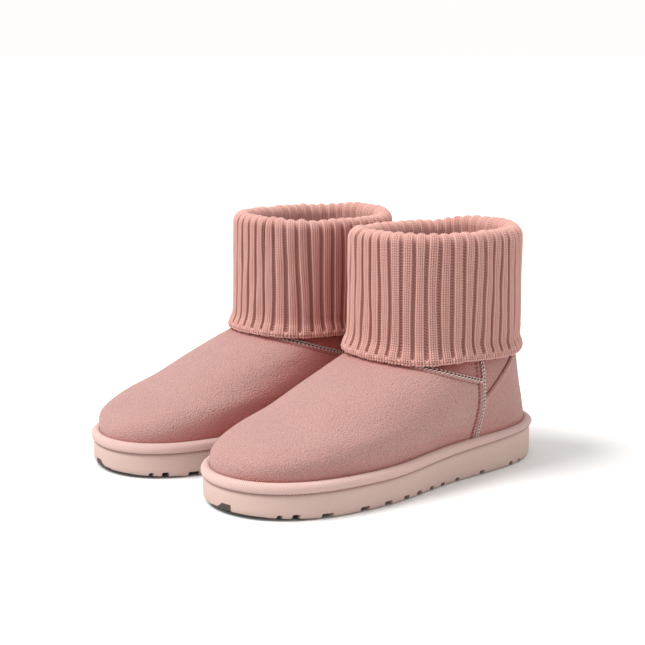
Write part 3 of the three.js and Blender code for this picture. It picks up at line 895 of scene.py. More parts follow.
class Panel:
    """A piece of the upper cut between two upright lines and two edges across."""

    def __init__(self, left, right, bottom, top):
        self.left, self.right, self.bottom, self.top = left, right, bottom, top

    def turn(self, share, z):
        """The place round the boot at a share of the way across."""
        return self.left(z) * (1 - share) + self.right(z) * share

    def _edge(self, share, rule, guess):
        """Heights where the panel meets an edge, found from a guess by halving the difference."""
        z = np.full(len(share), float(guess))
        for _ in range(40):
            y = WALL.face(self.turn(share, z), z)[:, 1]
            z = (z + rule(y)) / 2
        return z

    def columns(self, share):
        """Each column's heights, places round the boot and length along the skin."""
        low = self._edge(share, self.bottom, 30)
        high = self._edge(share, self.top, 40)
        z = low[:, None] + (high - low)[:, None] * np.linspace(0, 1, PANEL_RISES)
        turn = self.turn(share[:, None], z)
        steps = np.linalg.norm(np.diff(WALL.face(turn, z), axis=1), axis=-1)
        way = np.concatenate([np.zeros((len(share), 1)), np.cumsum(steps, 1)], 1)
        return z, turn, way

    def at(self, share, distance):
        """Height and turn at distances under the top edge."""
        z, _, way = self.columns(share)
        distance = np.broadcast_to(distance, share.shape)
        height = np.array(
            [np.interp(way[i, -1] - distance[i], way[i], z[i]) for i in range(len(share))]
        )
        return self.turn(share, height), height

    def even_shares(self, distance, pitch):
        """Shares across the panel one pitch apart along a line under its top edge."""
        share = np.linspace(0, 1, PANEL_STEPS)
        line = WALL.face(*self.at(share, distance))
        way = np.concatenate([[0], np.cumsum(np.linalg.norm(np.diff(line, axis=0), axis=1))])
        count = max(2, round(way[-1] / pitch))
        return np.interp((np.arange(count) + 0.5) * way[-1] / count, way, share)


def seam_line(side, y):
    """An upright line at a given y, as a rule for a Panel's side."""
    turns = side * WALL.turns_at(side, y)
    return lambda height: np.interp(height, WALL.heights, turns)


def wrapped(line):
    """The same line counted on past the heel."""
    return lambda height: 2 + line(height)


def rounding(distance, radius):
    """How far a rounded edge falls away at a distance from it."""
    left = np.clip(radius - distance, 0, radius)
    return radius - np.sqrt(np.clip(radius**2 - left**2, 0, None))


def level(height):
    """A level edge, as a rule for a Panel's bottom or top."""
    return lambda y: y * 0 + height


def over(edge):
    """An edge that clears another one below it."""
    return lambda y: edge(y) + EDGE_GAP


SEAM_GAP = 0.25
EDGE_GAP = 0.12
UPPER_BOTTOM = 12.3
FRONT_SIDES = (seam_line(-1, SIDE_SEAM_Y), seam_line(1, SIDE_SEAM_Y))
BACK_SIDES = (
    seam_line(1, SIDE_SEAM_Y + SEAM_GAP),
    wrapped(seam_line(-1, SIDE_SEAM_Y + SEAM_GAP)),
)
VAMP = Panel(*FRONT_SIDES, level(UPPER_BOTTOM), vamp_top)
COUNTER = Panel(*BACK_SIDES, level(UPPER_BOTTOM), counter_top)
SHAFT_FRONT = Panel(*FRONT_SIDES, over(vamp_top), level(SHAFT_TOP))
SHAFT_BACK = Panel(*BACK_SIDES, over(counter_top), level(SHAFT_TOP))

# Distances of a skin's mesh lines from an edge, and from one with a sewn row beside it
NEAR = np.array([0, 0.04, 0.12, 0.25, 0.42, 0.65, 0.95, 1.35, 1.8])
NEAR_SEAM = np.array(
    [0, 0.04, 0.12, 0.25, 0.42, 0.65, 0.9, 1.1, 1.25, 1.36, 1.46, 1.56, 1.68, 1.82, 2, 2.2, 2.4,
     2.6, 2.85, 3.15, 3.6, 4.4, 5.8]
)


def skin(name, panel, across, middle, near, depth, thickness):
    """Builds a skin with rounded edges; depth gives its outer face's depth at each point.

    across and middle count its mesh lines inside those that near sets along its edges.
    """
    width = 165.0  # about the length of skin between the side seams
    inner = np.linspace(near[-1] / width, 1 - near[-1] / width, across)
    share = np.concatenate([near[:-1] / width, inner, 1 - near[:-1][::-1] / width])
    z, _, way = panel.columns(share)
    total = way[:, -1]
    goal = np.concatenate(
        [
            np.tile(NEAR[:-1, None], len(share)),
            NEAR[-1] + (total - near[-1] - NEAR[-1]) * np.linspace(0, 1, middle)[:, None],
            total - near[:-1][::-1, None],
        ]
    )
    rows, columns = goal.shape
    height = np.array([np.interp(goal[:, i], way[i], z[i]) for i in range(columns)]).T
    place = panel.turn(share[None], height)
    face = WALL.face(place, height)
    run = np.linalg.norm(np.diff(face, axis=1), axis=-1)
    run = np.concatenate([np.zeros((rows, 1)), np.cumsum(run, 1)], 1)
    side = np.minimum(run, run[:, -1:] - run)
    outer_depth = depth(goal, total - goal, side, run, place, height)
    outer = WALL.point(place, height, outer_depth)
    under = WALL.point(place, height, np.full_like(outer_depth, thickness))
    count = rows * columns
    index = np.arange(count).reshape(rows, columns)
    rim = np.concatenate([index[0], index[1:, -1], index[-1, -2::-1], index[-2:0:-1, 0]])
    after = np.roll(rim, -1)
    edge = np.stack([rim, rim + count, after + count, after], -1)
    front = grid_faces(rows, columns)
    faces = np.concatenate([front, front[:, ::-1] + count, edge])
    uv = np.stack([run * MM, goal * MM], -1)
    return new_mesh(name, np.stack([outer, under]), faces, np.stack([uv, uv]))


# How far the sewn rows lie under the vamp's top edge and in front of the side seams
TOP_ROW = 1.48
SIDE_ROW = 2.5


def wave(along, pitch):
    """A wave of a pitch along a length."""
    return np.sin(along * 2 * math.pi / pitch)


def hump(distance, place, width):
    """A soft hump of height 1 across a line."""
    return np.exp(-(((distance - place) / width) ** 2))


# Each depth rule takes the distances from the skin's bottom, top and nearer side, the length
# along it, the place round the boot and the height
def vamp_depth(low, high, side, run, place, height):
    """The vamp's folded top edge, its two sewn channels and the pucker beside them."""
    fold = -0.34 * smooth(0.1, 0.5, high) * (1 - smooth(1.2, 1.7, high))
    edge = rounding(high, 0.5) + rounding(side, 0.45) + rounding(low, 0.4)
    rows = 0.34 * hump(high, TOP_ROW, 0.3) + 0.34 * hump(side, SIDE_ROW, 0.62)
    pucker = 0.08 * wave(run, 1.6) * hump(high, 2.1, 1.2)
    pucker = pucker + 0.08 * wave(height, 2.5) * hump(side, 3.2, 1.3)
    soft = waves(place * 3, height * 2, seed=4, size=0.16)
    soft = soft * smooth(0, 6, high) * smooth(0, 6, side)
    return fold + edge + rows + pucker + soft + 0.12 * hump(low, 0, 1.6)


def counter_depth(low, high, side, _run, place, height):
    """The heel counter's bulge under its top edge."""
    edge = rounding(high, 0.55) + rounding(side, 0.45) + rounding(low, 0.4)
    bulge = -0.3 * hump(high, 1.0, 0.9)
    soft = waves(place * 3, height * 2, seed=9, size=0.14) * smooth(0, 6, side)
    return edge + bulge + soft + 0.12 * hump(low, 0, 1.6)


def shaft_depth(low, _high, side, _run, place, height):
    """The shaft, which lies deeper than the panels under it."""
    edge = rounding(low, 0.3) + rounding(side, 0.45)
    soft = waves(place * 3, height * 2, seed=12, size=0.12) * smooth(0, 4, low)
    return 0.52 + edge + soft + 0.16 * hump(low, 0, 1.2)


def make_vamp(sizes, colours):
    obj = skin("vamp", VAMP, 200, 74, NEAR_SEAM, vamp_depth, sizes.leather / MM)
    place_pair(obj, suede("vamp_suede", colours.vamp), ["vamp"])


def make_counter(sizes, colours):
    obj = skin("heel_counter", COUNTER, 110, 44, NEAR, counter_depth, sizes.leather / MM)
    place_pair(obj, suede("counter_suede", colours.counter), ["heel_counter"])


def make_shaft(sizes, colours):
    leather = suede("shaft_suede", colours.shaft)
    thick = sizes.leather / MM + 0.1
    parts = (("shaft_front", SHAFT_FRONT, 120, 50), ("shaft_back", SHAFT_BACK, 90, 40))
    for name, panel, across, middle in parts:
        obj = skin(name, panel, across, middle, NEAR, shaft_depth, thick)
        place_pair(obj, leather, [name])


# ---------------------------------------------------------------- sewing


def on_panel(panel, share, distance, out):
    """Points over a panel at distances under its top edge, and the way out there."""
    turn, z = panel.at(share, distance)
    return WALL.point(turn, z, np.full(len(share), -out)), WALL.normal(turn, z)


def edge_spots(panel, depths):
    """A rule for points along a panel's top edge: how far along, how far up from it."""
    share = np.linspace(0, 1, PANEL_STEPS)
    line = WALL.face(*panel.at(share, 0))
    way = np.concatenate([[0], np.cumsum(np.linalg.norm(np.diff(line, axis=0), axis=1))])

    def spot(along, up):
        turn, z = panel.at(np.interp(along, way, share), 0)
        return WALL.point(turn, z + up, np.interp(up, (-0.7, 0, 0.7), depths))

    def out(along):
        turn, z = panel.at(np.interp(along, way, share), 0)
        return WALL.normal(turn, z)

    return spot, out, way[-1]


def seam_spots(side, depth):
    """A rule for points beside a side seam: how high, how far towards the heel."""

    def spot(z, across):
        across = np.broadcast_to(across, z.shape)
        turn = np.zeros(len(z))
        for value in np.unique(across):
            here = across == value
            turn[here] = seam_line(side, SIDE_SEAM_Y + 0.3 + value)(z[here])
        return WALL.point(turn, z, np.full(len(z), depth))

    def out(z):
        return WALL.normal(seam_line(side, SIDE_SEAM_Y)(z), z)

    return spot, out


def make_braid(name, spot, out, along, threads, nodes, half, gap, thick):
    """A chain of V-shaped stitches, wide at half and closing to gap, with near-black threads
    between as painted shade in the eyes.
    """
    pale, _, eye_shade = threads
    pitch = along[1] - along[0]
    arms = np.tile(along, 2)
    hand = np.repeat([-1.0, 1.0], len(along))
    start, end = spot(arms, hand * half), spot(arms + pitch * 0.85, hand * gap)
    braid = stitches(name, start, end, out(arms), radius=thick, arch=0.26)
    place_pair(braid, pale, nodes)
    # Painted shade: short near-black threads fill the eyes between the stitches
    start, end = spot(along - pitch * 0.12, along * 0), spot(along + pitch * 0.2, along * 0)
    eyes = stitches(f"{name}_eyes", start, end, out(along), radius=0.27, arch=0.3)
    place_pair(eyes, eye_shade)


def make_vamp_stitching(sizes, threads):
    """The braid over the vamp's top edge and the row of stitches under it."""
    spot, out, total = edge_spots(VAMP, (-0.4, -0.32, 0.05))
    along = np.arange(1.0, total - 1.0, sizes.whip_pitch / MM)
    size = {"half": 0.5, "gap": 0.1, "thick": 0.23}
    make_braid("vamp_braid", spot, out, along, threads, ["vamp_seam"], **size)
    share = VAMP.even_shares(TOP_ROW, sizes.whip_pitch / MM)
    share = share[(share > 0.02) & (share < 0.98)]
    half = np.gradient(share) * 0.27
    start, out = on_panel(VAMP, share - half, TOP_ROW, -0.22)
    end, _ = on_panel(VAMP, share + half, TOP_ROW, -0.22)
    row = stitches("vamp_topstitch", start, end, out, radius=0.2, arch=0.14)
    place_pair(row, threads[1])


def make_counter_cord(dark):
    """The dark cord that lies in the groove over the heel counter."""
    spot, out, total = edge_spots(COUNTER, (0.3, 0.3, 0.3))
    along = np.arange(0.5, total - 0.5, 0.9)
    start, end = spot(along - 0.6, along * 0 + 0.16), spot(along + 0.6, along * 0 + 0.16)
    cord = stitches("counter_cord", start, end, out(along), radius=0.24, arch=0.0)
    place_pair(cord, dark)


# Heights between which the side seams' braids and ladders run; a ladder also has its depth
BRAID_HEIGHTS = (13.9, 47.5)
LADDERS = (("low", 14.4, 34.2, -0.04), ("high", 37.4, 46.0, 0.36))


def make_side_stitching(sizes, threads):
    """The side seams' braids and the ladders of stitches in front of them."""
    pitch = sizes.braid_pitch / MM
    for side, title in ((1, "outer"), (-1, "inner")):
        spot, out = seam_spots(side, 0.0)
        along = np.arange(*BRAID_HEIGHTS, pitch)
        nodes = [f"{title}_side_seam"]
        size = {"half": 0.78, "gap": 0.24, "thick": 0.27}
        make_braid(f"{title}_braid", spot, out, along, threads, nodes, **size)
        for part, low, high, depth in LADDERS:
            spot, out = seam_spots(side, depth)
            z = np.arange(low, high, pitch)
            start, end = spot(z, -SIDE_ROW - 0.85), spot(z + 0.25, 0.75 - SIDE_ROW)
            row = stitches(f"{title}_ladder_{part}", start, end, out(z), radius=0.33, arch=0.12)
            place_pair(row, threads[1])


# ---------------------------------------------------------------- knit cuff


# The inside of the cuff's outer layer from the hem up: heights, distances out from the shaft
# and shares of the slanting hem
HEM_HEIGHTS = (43.4, 44.6, 46.4, 48.4, 51, 55.5, 63, 72, 79.8)
HEM_INSIDE = (2.8, 2.4, 1.7, 1.0, 0.4, 0.0, -0.1, -0.1, -0.1)


HEM_SHARES = (1, 1, 1, 1, 1, 0.8, 0.4, 0.15, 0)
# Its outer face from the hem up, its inner face down from the roll, and the side against the
# shaft: distance out from the shaft, height and share of the slanting hem
CUFF_OUTSIDE = (
    (3.0, 43.3, 1), (3.25, 42.7, 1), (3.75, 42.2, 1), (4.15, 42.5, 1), (4.2, 43.6, 1),
    (3.7, 45.4, 1), (2.75, 47.4, 1), (2.2, 50.4, 0.9), (1.95, 55, 0.7), (1.85, 62, 0.45),
    (1.75, 72, 0.15), (1.75, 78, 0), (1.72, 82, 0),
)
CUFF_INSIDE = (
    (-5.15, 82.6, 0), (-4.9, 78, 0), (-4.1, 71, 0), (-3.5, 66, 0), (-3.2, 64.6, 0),
    (-2.7, 64.05, 0),
)
CUFF_BACK = (
    (-1.8, 64, 0), (-1.4, 64.6, 0), (-1.4, 72, 0), (-1.4, 79.8, 0), (-1.1, 80.3, 0),
    (-0.4, 80.3, 0),
)
# The roll at the top: its middle, its half width and height, and how square it is
ROLL_OUT, ROLL_UP = -1.75, 84.0
ROLL_HALF, ROLL_HEIGHT = 3.45, 4.1
ROLL_SQUARE = 2 / 2.1


def cuff_path():
    """The cuff's section, the way along it, where its outside ends, and its hidden back."""
    corners = list(CUFF_OUTSIDE)
    for angle in np.linspace(0.08, math.pi - 0.08, 19):
        c, s = math.cos(angle), math.sin(angle)
        round_out = math.copysign(abs(c) ** ROLL_SQUARE, c)
        out = ROLL_OUT + ROLL_HALF * round_out
        corners.append((out, ROLL_UP + ROLL_HEIGHT * s**ROLL_SQUARE, 0))
    outside = len(corners)
    corners += CUFF_INSIDE
    back = list(CUFF_BACK) + list(zip(HEM_INSIDE, HEM_HEIGHTS, HEM_SHARES))[::-1]
    points = np.array(corners, float)
    way = np.concatenate([[0], np.cumsum(np.hypot(*np.diff(points[:, :2], axis=0).T))])
    return points, way, way[outside - 1], np.array(back, float)


def drape(turn, out, up, share):
    """Points of the cuff at places round it, distances out, heights and shares of the hem."""
    turn, out, up, share = np.broadcast_arrays(turn, out, up, share)
    plain = np.full(turn.shape, SHAFT_TOP)
    foot, normal = WALL.face(turn, plain), WALL.normal(turn, plain)
    middle = (WALL_TOE[8] + WALL_HEEL[8]) * SOLE_LENGTH / 4
    back = (foot[..., 1] - middle) / (SOLE_LENGTH / 4)
    way = np.where(turn > 1, turn - 2, turn)
    low = 1 - smooth(44, 58, up)
    hem = -0.6 * hump(way, 0.2, 0.1) + 0.9 * smooth(0.22, 0.42, np.abs(way))
    hem = hem - 0.3 * hump(way, 0.03, 0.1)
    hem = hem + 1.8 * smooth(0.2, 1, back)
    heel, inner = smooth(0.55, 1, normal[..., 1]), smooth(0.3, 0.95, -normal[..., 0])
    crown = smooth(70, 86, up) * (0.2 - 0.4 * back + 1.1 * heel - 0.9 * inner)
    height = up - CUFF_TILT * back * share + hem * low + crown
    tuck = (0.5 + 0.5 * back) * low * 1.9
    skin = np.sum((WALL.face(turn, height) - foot) * normal, -1)
    push = skin + 0.12 - np.interp(up, HEM_HEIGHTS, HEM_INSIDE) + tuck
    push = (push + np.sqrt(push**2 + 0.06)) / 2 * (1 - smooth(50, 58, up))
    at = foot + normal * (out - tuck + push)[..., None]
    at[..., 2] = height
    return at


# Half a rib's width as a share of its pitch, and the mesh lines across one pitch
RIB_HALF = 0.34
RIB_SHARES = np.array(
    [0, 0.06, 0.11, 0.16, 0.211, 0.279, 0.33, 0.381, 0.449, 0.5, 0.551, 0.619, 0.67, 0.721,
     0.789, 0.84, 0.89, 0.94]
)


BAND_ROW = 1.15  # height of one row of the bound-off band


def knit_relief(rib, v, sizes, crest, end):
    """How far the knit stands off the cuff's section, and how much shade is painted on it.

    rib counts the ribs round the cuff, v is the way along its section from the hem.
    """
    rng = np.random.default_rng(8)
    number = np.floor(rib + 1e-6).astype(int) % sizes.ribs
    inside = rib - np.floor(rib + 1e-6)
    x = (inside - 0.5) / RIB_HALF
    off = np.abs(x)
    stitch = sizes.stitch / MM
    offset = rng.uniform(0, 1, sizes.ribs)[number]
    fat = rng.normal(0, 0.09, sizes.ribs)[number]
    # The rib's four wales of V-shaped stitches
    wale = np.clip(np.floor((x + 1) * 2), 0, 3)
    across = np.clip((x + 1) * 2 - wale, 0, 1) * 2 - 1
    way = np.where(wale % 2 == 0, 1, -1)
    bump = np.abs(np.sin(math.pi * (v / stitch + 0.28 * way * across + offset))) ** 0.8
    leg = np.sqrt(np.clip(1 - across**2 * 0.96, 0, 1)) * (0.25 + 0.75 * bump)
    dome = -0.4 * np.clip(off, 0, 1) ** 3
    middle = 1 - smooth(0.3, 0.75, off)
    # The furrows with their slanting purl bars, closed round at the hem
    turned = smooth(crest - 6, crest - 0.5, v)
    low = 3.0 + 1.1 * np.clip((1.47 - off) / 0.5, 0, 1)
    inner_edge = 1 - smooth(end - 1.5, end, v)
    hem = smooth(low, low + 0.8, v) * inner_edge
    full = 0.3 + 0.7 * smooth(2.2, 3.1, v) * inner_edge
    open_way = hem * (1 - 0.8 * turned)
    furrow = smooth(0.95, 1.25, off)
    slant = ((inside + 0.5) % 1 - 0.5) * 3.2
    purl = np.abs(np.sin(math.pi * (v / stitch * 0.8 + offset + slant))) ** 1.3 * furrow
    # The bound-off band below them
    row = v / BAND_ROW
    lean = np.where(np.floor(row) % 2 == 0, 1, -1)
    loop = (row - np.floor(row)) * 2 - 1
    bound = np.abs(np.cos(math.pi * (rib * 4 + 0.3 * lean * loop))) ** 0.7
    bound = bound * np.sqrt(np.clip(1 - 0.9 * loop**2, 0, 1)) * (1 - smooth(2.5, 3.5, v))
    rib_height = (dome + 0.42 * (leg - 0.3)) * (1 - furrow) + fat
    deep = -sizes.rib_depth / MM * furrow + 0.3 * purl
    height = rib_height * full + deep * (0.14 + 0.86 * open_way) + 0.34 * bound
    # Painted shade: dark marks the furrows, the gaps between the stitches' legs and the band's
    # loops
    gaps = 0.85 * (1 - leg) * (1 - 0.3 * turned) + 0.1 * middle
    dark = furrow * (1 - 0.5 * purl) * (0.35 + 0.65 * open_way) * full + gaps * (1 - furrow) * full
    dark = dark + (1 - smooth(2.4, 3.3, v)) * 0.8 * (1 - bound)
    return height, np.clip(dark, 0, 1)


RIB_PITCH = 4.4  # about the width of knit that one rib takes
RIB_START = -0.1  # where the first rib stands round the boot


def make_cuff(sizes, colours):
    """The cuff in three closed parts that meet at their cut ends."""
    points, way, outside, back = cuff_path()
    end, crest = way[-1], way[int(np.argmax(points[:, 1]))]
    step = sizes.stitch / MM / 4
    v = np.concatenate([np.arange(0, outside, step), np.arange(outside, end, step * 2), [end]])
    section = np.stack([station(way, points[:, k], v) for k in range(3)], 1)
    tangent = np.gradient(section[:, :2], v, axis=0)
    tangent /= np.linalg.norm(tangent, axis=1, keepdims=True)
    normal = np.stack([tangent[:, 1], -tangent[:, 0]], 1)
    ribs = sizes.ribs
    yarn = knit("rib_knit", colours.knit, (*colours.furrow, 1.0))
    cuts = [0, ribs // 3, 2 * ribs // 3, ribs]
    for k, title in enumerate(("outer", "heel", "inner")):
        base = np.arange(cuts[k], cuts[k + 1])[:, None] + RIB_SHARES[None]
        base = np.concatenate([base.ravel(), [cuts[k + 1]]])
        rib, along = np.meshgrid(base, v)
        sway = 0.1 * np.sin(rib * 0.45 + along * 0.05) + 0.05 * np.sin(rib * 0.95 - along * 0.09)
        sway = sway + 0.02 * np.sin(rib * 2.3 + along * 0.16 + 1.3)
        turn = (rib + sway) * 2 / ribs + RIB_START
        turn = np.where(turn > 1, turn - 2, turn)
        height, dark = knit_relief(rib, along, sizes, crest, end)
        swell = waves(turn * 5, along * 1.5, seed=31, size=0.3) * smooth(0, 3, along)
        lift = height + swell
        front = drape(
            turn,
            section[:, :1] + lift * normal[:, :1],
            section[:, 1:2] + lift * normal[:, 1:2],
            section[:, 2:3],
        )
        rear = drape(np.tile(turn[-1], (len(back), 1)), back[:, :1], back[:, 1:2], back[:, 2:3])
        grid = np.concatenate([front, rear])
        rows, columns = grid.shape[:2]
        faces = grid_faces(rows, columns, wrap_rows=True)
        run = np.concatenate([rib, np.tile(base, (len(back), 1))]) * RIB_PITCH * MM
        rise = np.concatenate([along, np.tile(np.full((1, columns), end), (len(back), 1))]) * MM
        # Painted shade, kept in the furrow attribute; the cuff's hidden back is painted 0.8 dark
        marks = np.concatenate([dark, np.full((len(back), columns), 0.8)])
        obj = new_mesh(
            f"knit_cuff_{title}", grid, faces, np.stack([run, rise], -1), {"furrow": marks}
        )
        only(obj)
        bpy.ops.object.mode_set(mode="EDIT")
        bpy.ops.mesh.select_all(action="DESELECT")
        bpy.ops.mesh.select_non_manifold()
        bpy.ops.mesh.fill_holes(sides=0)
        bpy.ops.object.mode_set(mode="OBJECT")
        for face in obj.data.polygons:
            face.use_smooth = len(face.vertices) < 5
        place_pair(obj, yarn, ["knit_cuff"])


# ---------------------------------------------------------------- stage


def aim(obj, place, target):
    """Puts a camera or a light at a place and turns it to a target."""
    obj.location = place
    obj.rotation_euler = (Vector(target) - Vector(place)).to_track_quat("-Z", "Y").to_euler()


def add_sun(name, energy, angle, colour, place):
    data = bpy.data.lights.new(name, "SUN")
    data.energy = energy
    data.angle = angle
    data.color = colour
    sun = bpy.data.objects.new(name, data)
    bpy.context.scene.collection.objects.link(sun)
    aim(sun, place, (0, 0, 0))


# The camera: its way round from the front, its rise, distance, target and lens
CAMERA_TURN = math.radians(50.573)
CAMERA_RISE = math.radians(10.92)
CAMERA_FAR = 0.52196
CAMERA_TARGET = Vector((0.00341, 0.00117, 0.05152))
CAMERA_LENS = 78.57


def make_stage(light):
    deselect()
    bpy.ops.mesh.primitive_plane_add(size=60, location=(0, 0, 0))
    floor = bpy.context.object
    floor.name = "studio_floor"
    s = Shader("studio_floor")
    cloud = s.noise(s.place(), scale=3, detail=2)
    shade = s.mix(cloud, tint(light.floor, 0.99), tint(light.floor, 1.0))
    normal = s.bump(cloud, distance=0.0001, strength=0.1)
    floor.data.materials.append(
        s.finish(shade, 0.9 + cloud * 0.02, normal, specular_ior_level=0.2)
    )
    scene = bpy.context.scene
    scene.view_settings.view_transform = "Standard"
    scene.view_settings.look = "None"
    world = bpy.data.worlds.new("studio_air")
    scene.world = world
    world.use_nodes = True
    air = world.node_tree.nodes["Background"]
    air.inputs["Color"].default_value = (1.0, 0.985, 0.97, 1.0)
    air.inputs["Strength"].default_value = light.air
    add_sun("key_light", light.key, light.softness, (1.0, 0.98, 0.96), (-0.46, -0.93, 1.62))
    add_sun("rim_light", light.rim, 1.0, (1.0, 0.97, 0.95), (0.25, 1.0, 0.5))
    flat = math.cos(CAMERA_RISE)
    x, y = math.sin(CAMERA_TURN) * flat, -math.cos(CAMERA_TURN) * flat
    back = Vector((x, y, math.sin(CAMERA_RISE)))
    data = bpy.data.cameras.new("camera")
    data.lens = CAMERA_LENS
    data.sensor_width = 36
    camera = bpy.data.objects.new("camera", data)
    scene.collection.objects.link(camera)
    aim(camera, CAMERA_TARGET + back * CAMERA_FAR, CAMERA_TARGET)
    scene.camera = camera


# ---------------------------------------------------------------- sizes, colours, operators


def colour(name, description, default):
    return FloatVectorProperty(
        name=name, description=description, default=default, size=3, min=0, max=1, subtype="COLOR"
    )


def length(name, description, default, low, high):
    return FloatProperty(
        name=name, description=description, default=default, min=low, max=high,
        unit="LENGTH", precision=5,
    )


def strength(name, description, default):
    return FloatProperty(name=name, description=description, default=default, min=0)


class BootsSizes(bpy.types.PropertyGroup):
    """Sizes of the knit, the leather, the stitches and the tread"""

    ribs: IntProperty(name="Ribs", description="Ribs round the cuff", default=42, min=20, max=60)
    stitch: length("Stitch", "Height of one knit stitch", 0.00085, 0.0005, 0.002)
    rib_depth: length("Rib depth", "Depth of the furrows between ribs", 0.0013, 0.0005, 0.0018)
    leather: length("Leather", "Thickness of the suede", 0.0011, 0.0008, 0.0013)
    whip_pitch: length("Vamp pitch", "Spacing of the vamp's stitches", 0.00155, 0.0008, 0.003)
    braid_pitch: length("Braid pitch", "Spacing of the side braids", 0.0013, 0.0006, 0.003)
    wide_notch: length("Front notch", "Width of the tread's front notches", 0.0038, 0.001, 0.005)
    narrow_notch: length("Rear notch", "Width of the tread's rear notches", 0.0022, 0.001, 0.005)
    notch_depth: length("Notch depth", "Height of the tread's notches", 0.0018, 0.0005, 0.003)


class BootsColours(bpy.types.PropertyGroup):
    """Colours of the pieces and threads"""

    vamp: colour("Vamp", "Suede of the vamp", (0.44, 0.24, 0.22))
    counter: colour("Counter", "Suede of the heel counter", (0.43, 0.212, 0.192))
    shaft: colour("Shaft", "Suede of the shaft", (0.4, 0.185, 0.165))
    knit: colour("Knit", "Yarn of the cuff", (0.69, 0.39, 0.34))
    # Painted shade: the near-black red painted into the knit's furrows and gaps
    furrow: colour("Furrow", "Yarn seen deep between the ribs", (0.095, 0.018, 0.012))
    foam: colour("Foam", "Foam of the sole", (0.49, 0.35, 0.31))
    welt: colour("Welt", "Twill of the welt", (0.63, 0.43, 0.395))
    welt_thread: colour("Welt thread", "Thread of the rows along the welt", (0.36, 0.17, 0.15))
    pale_thread: colour("Pale thread", "Thread of the visible seams", (0.64, 0.5, 0.46))
    # Painted shade: near-black thread for the shade in the braids' eyes
    eye_shade_thread: colour("Eye thread", "Shaded thread in the braids' eyes", (0.07, 0.035, 0.03))
    dark_thread: colour("Dark thread", "Thread of the rows by the seams", (0.26, 0.085, 0.08))
    fleece: colour("Fleece", "Pile of the lining and footbed", (0.52, 0.33, 0.29))
    board: colour("Board", "Insole board", (0.5, 0.4, 0.28))
    stiffener: colour("Stiffener", "Toe puff and heel stiffener", (0.65, 0.6, 0.5))


class BootsLight(bpy.types.PropertyGroup):
    """Lights and floor of the stage"""

    key: strength("Key", "Strength of the key light", 3.5)
    rim: strength("Rim", "Strength of the light from behind", 0.3)
    softness: FloatProperty(
        name="Softness", description="Angle that the key light spans", default=0.5, min=0,
        subtype="ANGLE",
    )
    air: strength("Air", "Strength of the light all round", 1.0)
    floor: colour("Floor", "Colour of the floor", (0.72, 0.72, 0.72))


def settings():
    scene = bpy.context.scene
    return scene.boots_sizes, scene.boots_colours, scene.boots_light


class BOOTS_OT_sole(bpy.types.Operator):
    """Foam sole units with tread notches"""

    bl_idname = "boots.sole"
    bl_label = "Soles"

    def execute(self, context):
        sizes, colours, _ = settings()
        make_sole(sizes, colours)
        return {"FINISHED"}


class BOOTS_OT_welt(bpy.types.Operator):
    """Twill welts round the soles, with their rows of stitches"""

    bl_idname = "boots.welt"
    bl_label = "Welts"

    def execute(self, context):
        make_welt(settings()[1])
        return {"FINISHED"}


class BOOTS_OT_inside(bpy.types.Operator):
    """Boards, stiffeners, footbeds and fleece linings"""

    bl_idname = "boots.inside"
    bl_label = "Insides"

    def execute(self, context):
        colours = settings()[1]
        dress_boards(colours)
        make_footbed(colours)
        make_lining(colours)
        return {"FINISHED"}


class BOOTS_OT_upper(bpy.types.Operator):
    """Suede vamps, heel counters and shafts"""

    bl_idname = "boots.upper"
    bl_label = "Uppers"

    def execute(self, context):
        sizes, colours, _ = settings()
        make_vamp(sizes, colours)
        make_counter(sizes, colours)
        make_shaft(sizes, colours)
        return {"FINISHED"}


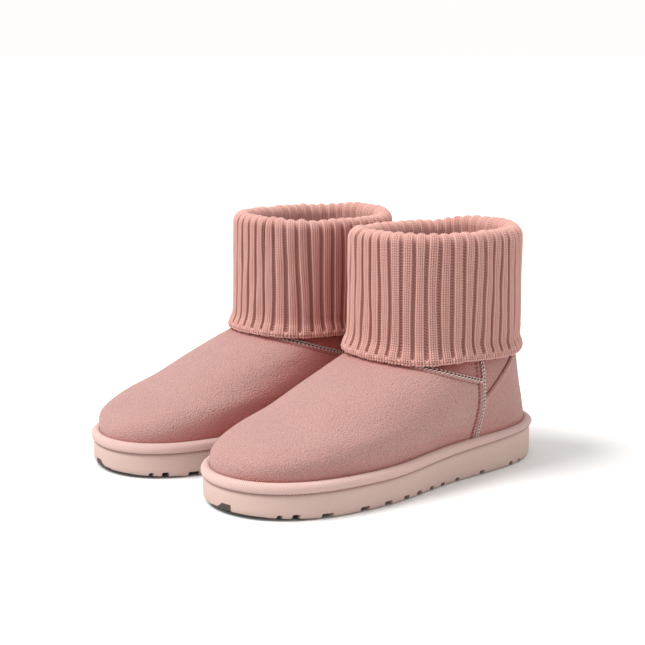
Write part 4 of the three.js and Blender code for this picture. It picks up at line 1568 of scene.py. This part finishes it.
class BOOTS_OT_stitching(bpy.types.Operator):
    """Braids, ladders, topstitching and the cord over the heel counters"""

    bl_idname = "boots.stitching"
    bl_label = "Stitching"

    def execute(self, context):
        sizes, colours, _ = settings()
        pale = thread("pale_thread", colours.pale_thread)
        dark = thread("dark_thread", colours.dark_thread)
        # The third thread is near-black, painted shade for the braids' eyes
        threads = (pale, dark, thread("eye_shade_thread", colours.eye_shade_thread))
        make_vamp_stitching(sizes, threads)
        make_side_stitching(sizes, threads)
        make_counter_cord(dark)
        return {"FINISHED"}


class BOOTS_OT_cuff(bpy.types.Operator):
    """Rib-knit cuffs folded over the shafts"""

    bl_idname = "boots.cuff"
    bl_label = "Knit Cuffs"

    def execute(self, context):
        sizes, colours, _ = settings()
        make_cuff(sizes, colours)
        return {"FINISHED"}


class BOOTS_OT_stage(bpy.types.Operator):
    """Floor, lights and camera"""

    bl_idname = "boots.stage"
    bl_label = "Stage"

    def execute(self, context):
        make_stage(settings()[2])
        return {"FINISHED"}


OPERATORS = (
    BOOTS_OT_stage,
    BOOTS_OT_sole,
    BOOTS_OT_welt,
    BOOTS_OT_inside,
    BOOTS_OT_upper,
    BOOTS_OT_stitching,
    BOOTS_OT_cuff,
)


class BOOTS_PT_panel(bpy.types.Panel):
    """Lists the sizes, the colours, the lights and the operators"""

    bl_idname = "BOOTS_PT_panel"
    bl_label = "Baby Boots"
    bl_space_type = "VIEW_3D"
    bl_region_type = "UI"
    bl_category = "Boots"

    def draw(self, context):
        for group in settings():
            for key in group.bl_rna.properties.keys():
                if key not in ("rna_type", "name"):
                    self.layout.prop(group, key)
        for operator in OPERATORS:
            self.layout.operator(operator.bl_idname)


GROUPS = (
    ("boots_sizes", BootsSizes),
    ("boots_colours", BootsColours),
    ("boots_light", BootsLight),
)


def register():
    for name, group in GROUPS:
        bpy.utils.register_class(group)
        setattr(bpy.types.Scene, name, PointerProperty(type=group))
    for cls in (*OPERATORS, BOOTS_PT_panel):
        bpy.utils.register_class(cls)


def unregister():
    for cls in (BOOTS_PT_panel, *reversed(OPERATORS)):
        bpy.utils.unregister_class(cls)
    for name, group in reversed(GROUPS):
        delattr(bpy.types.Scene, name)
        bpy.utils.unregister_class(group)


def main():
    register()
    bpy.ops.boots.stage()
    bpy.ops.boots.sole()
    bpy.ops.boots.welt()
    bpy.ops.boots.inside()
    bpy.ops.boots.upper()
    bpy.ops.boots.stitching()
    bpy.ops.boots.cuff()


if __name__ == "__main__":
    main()
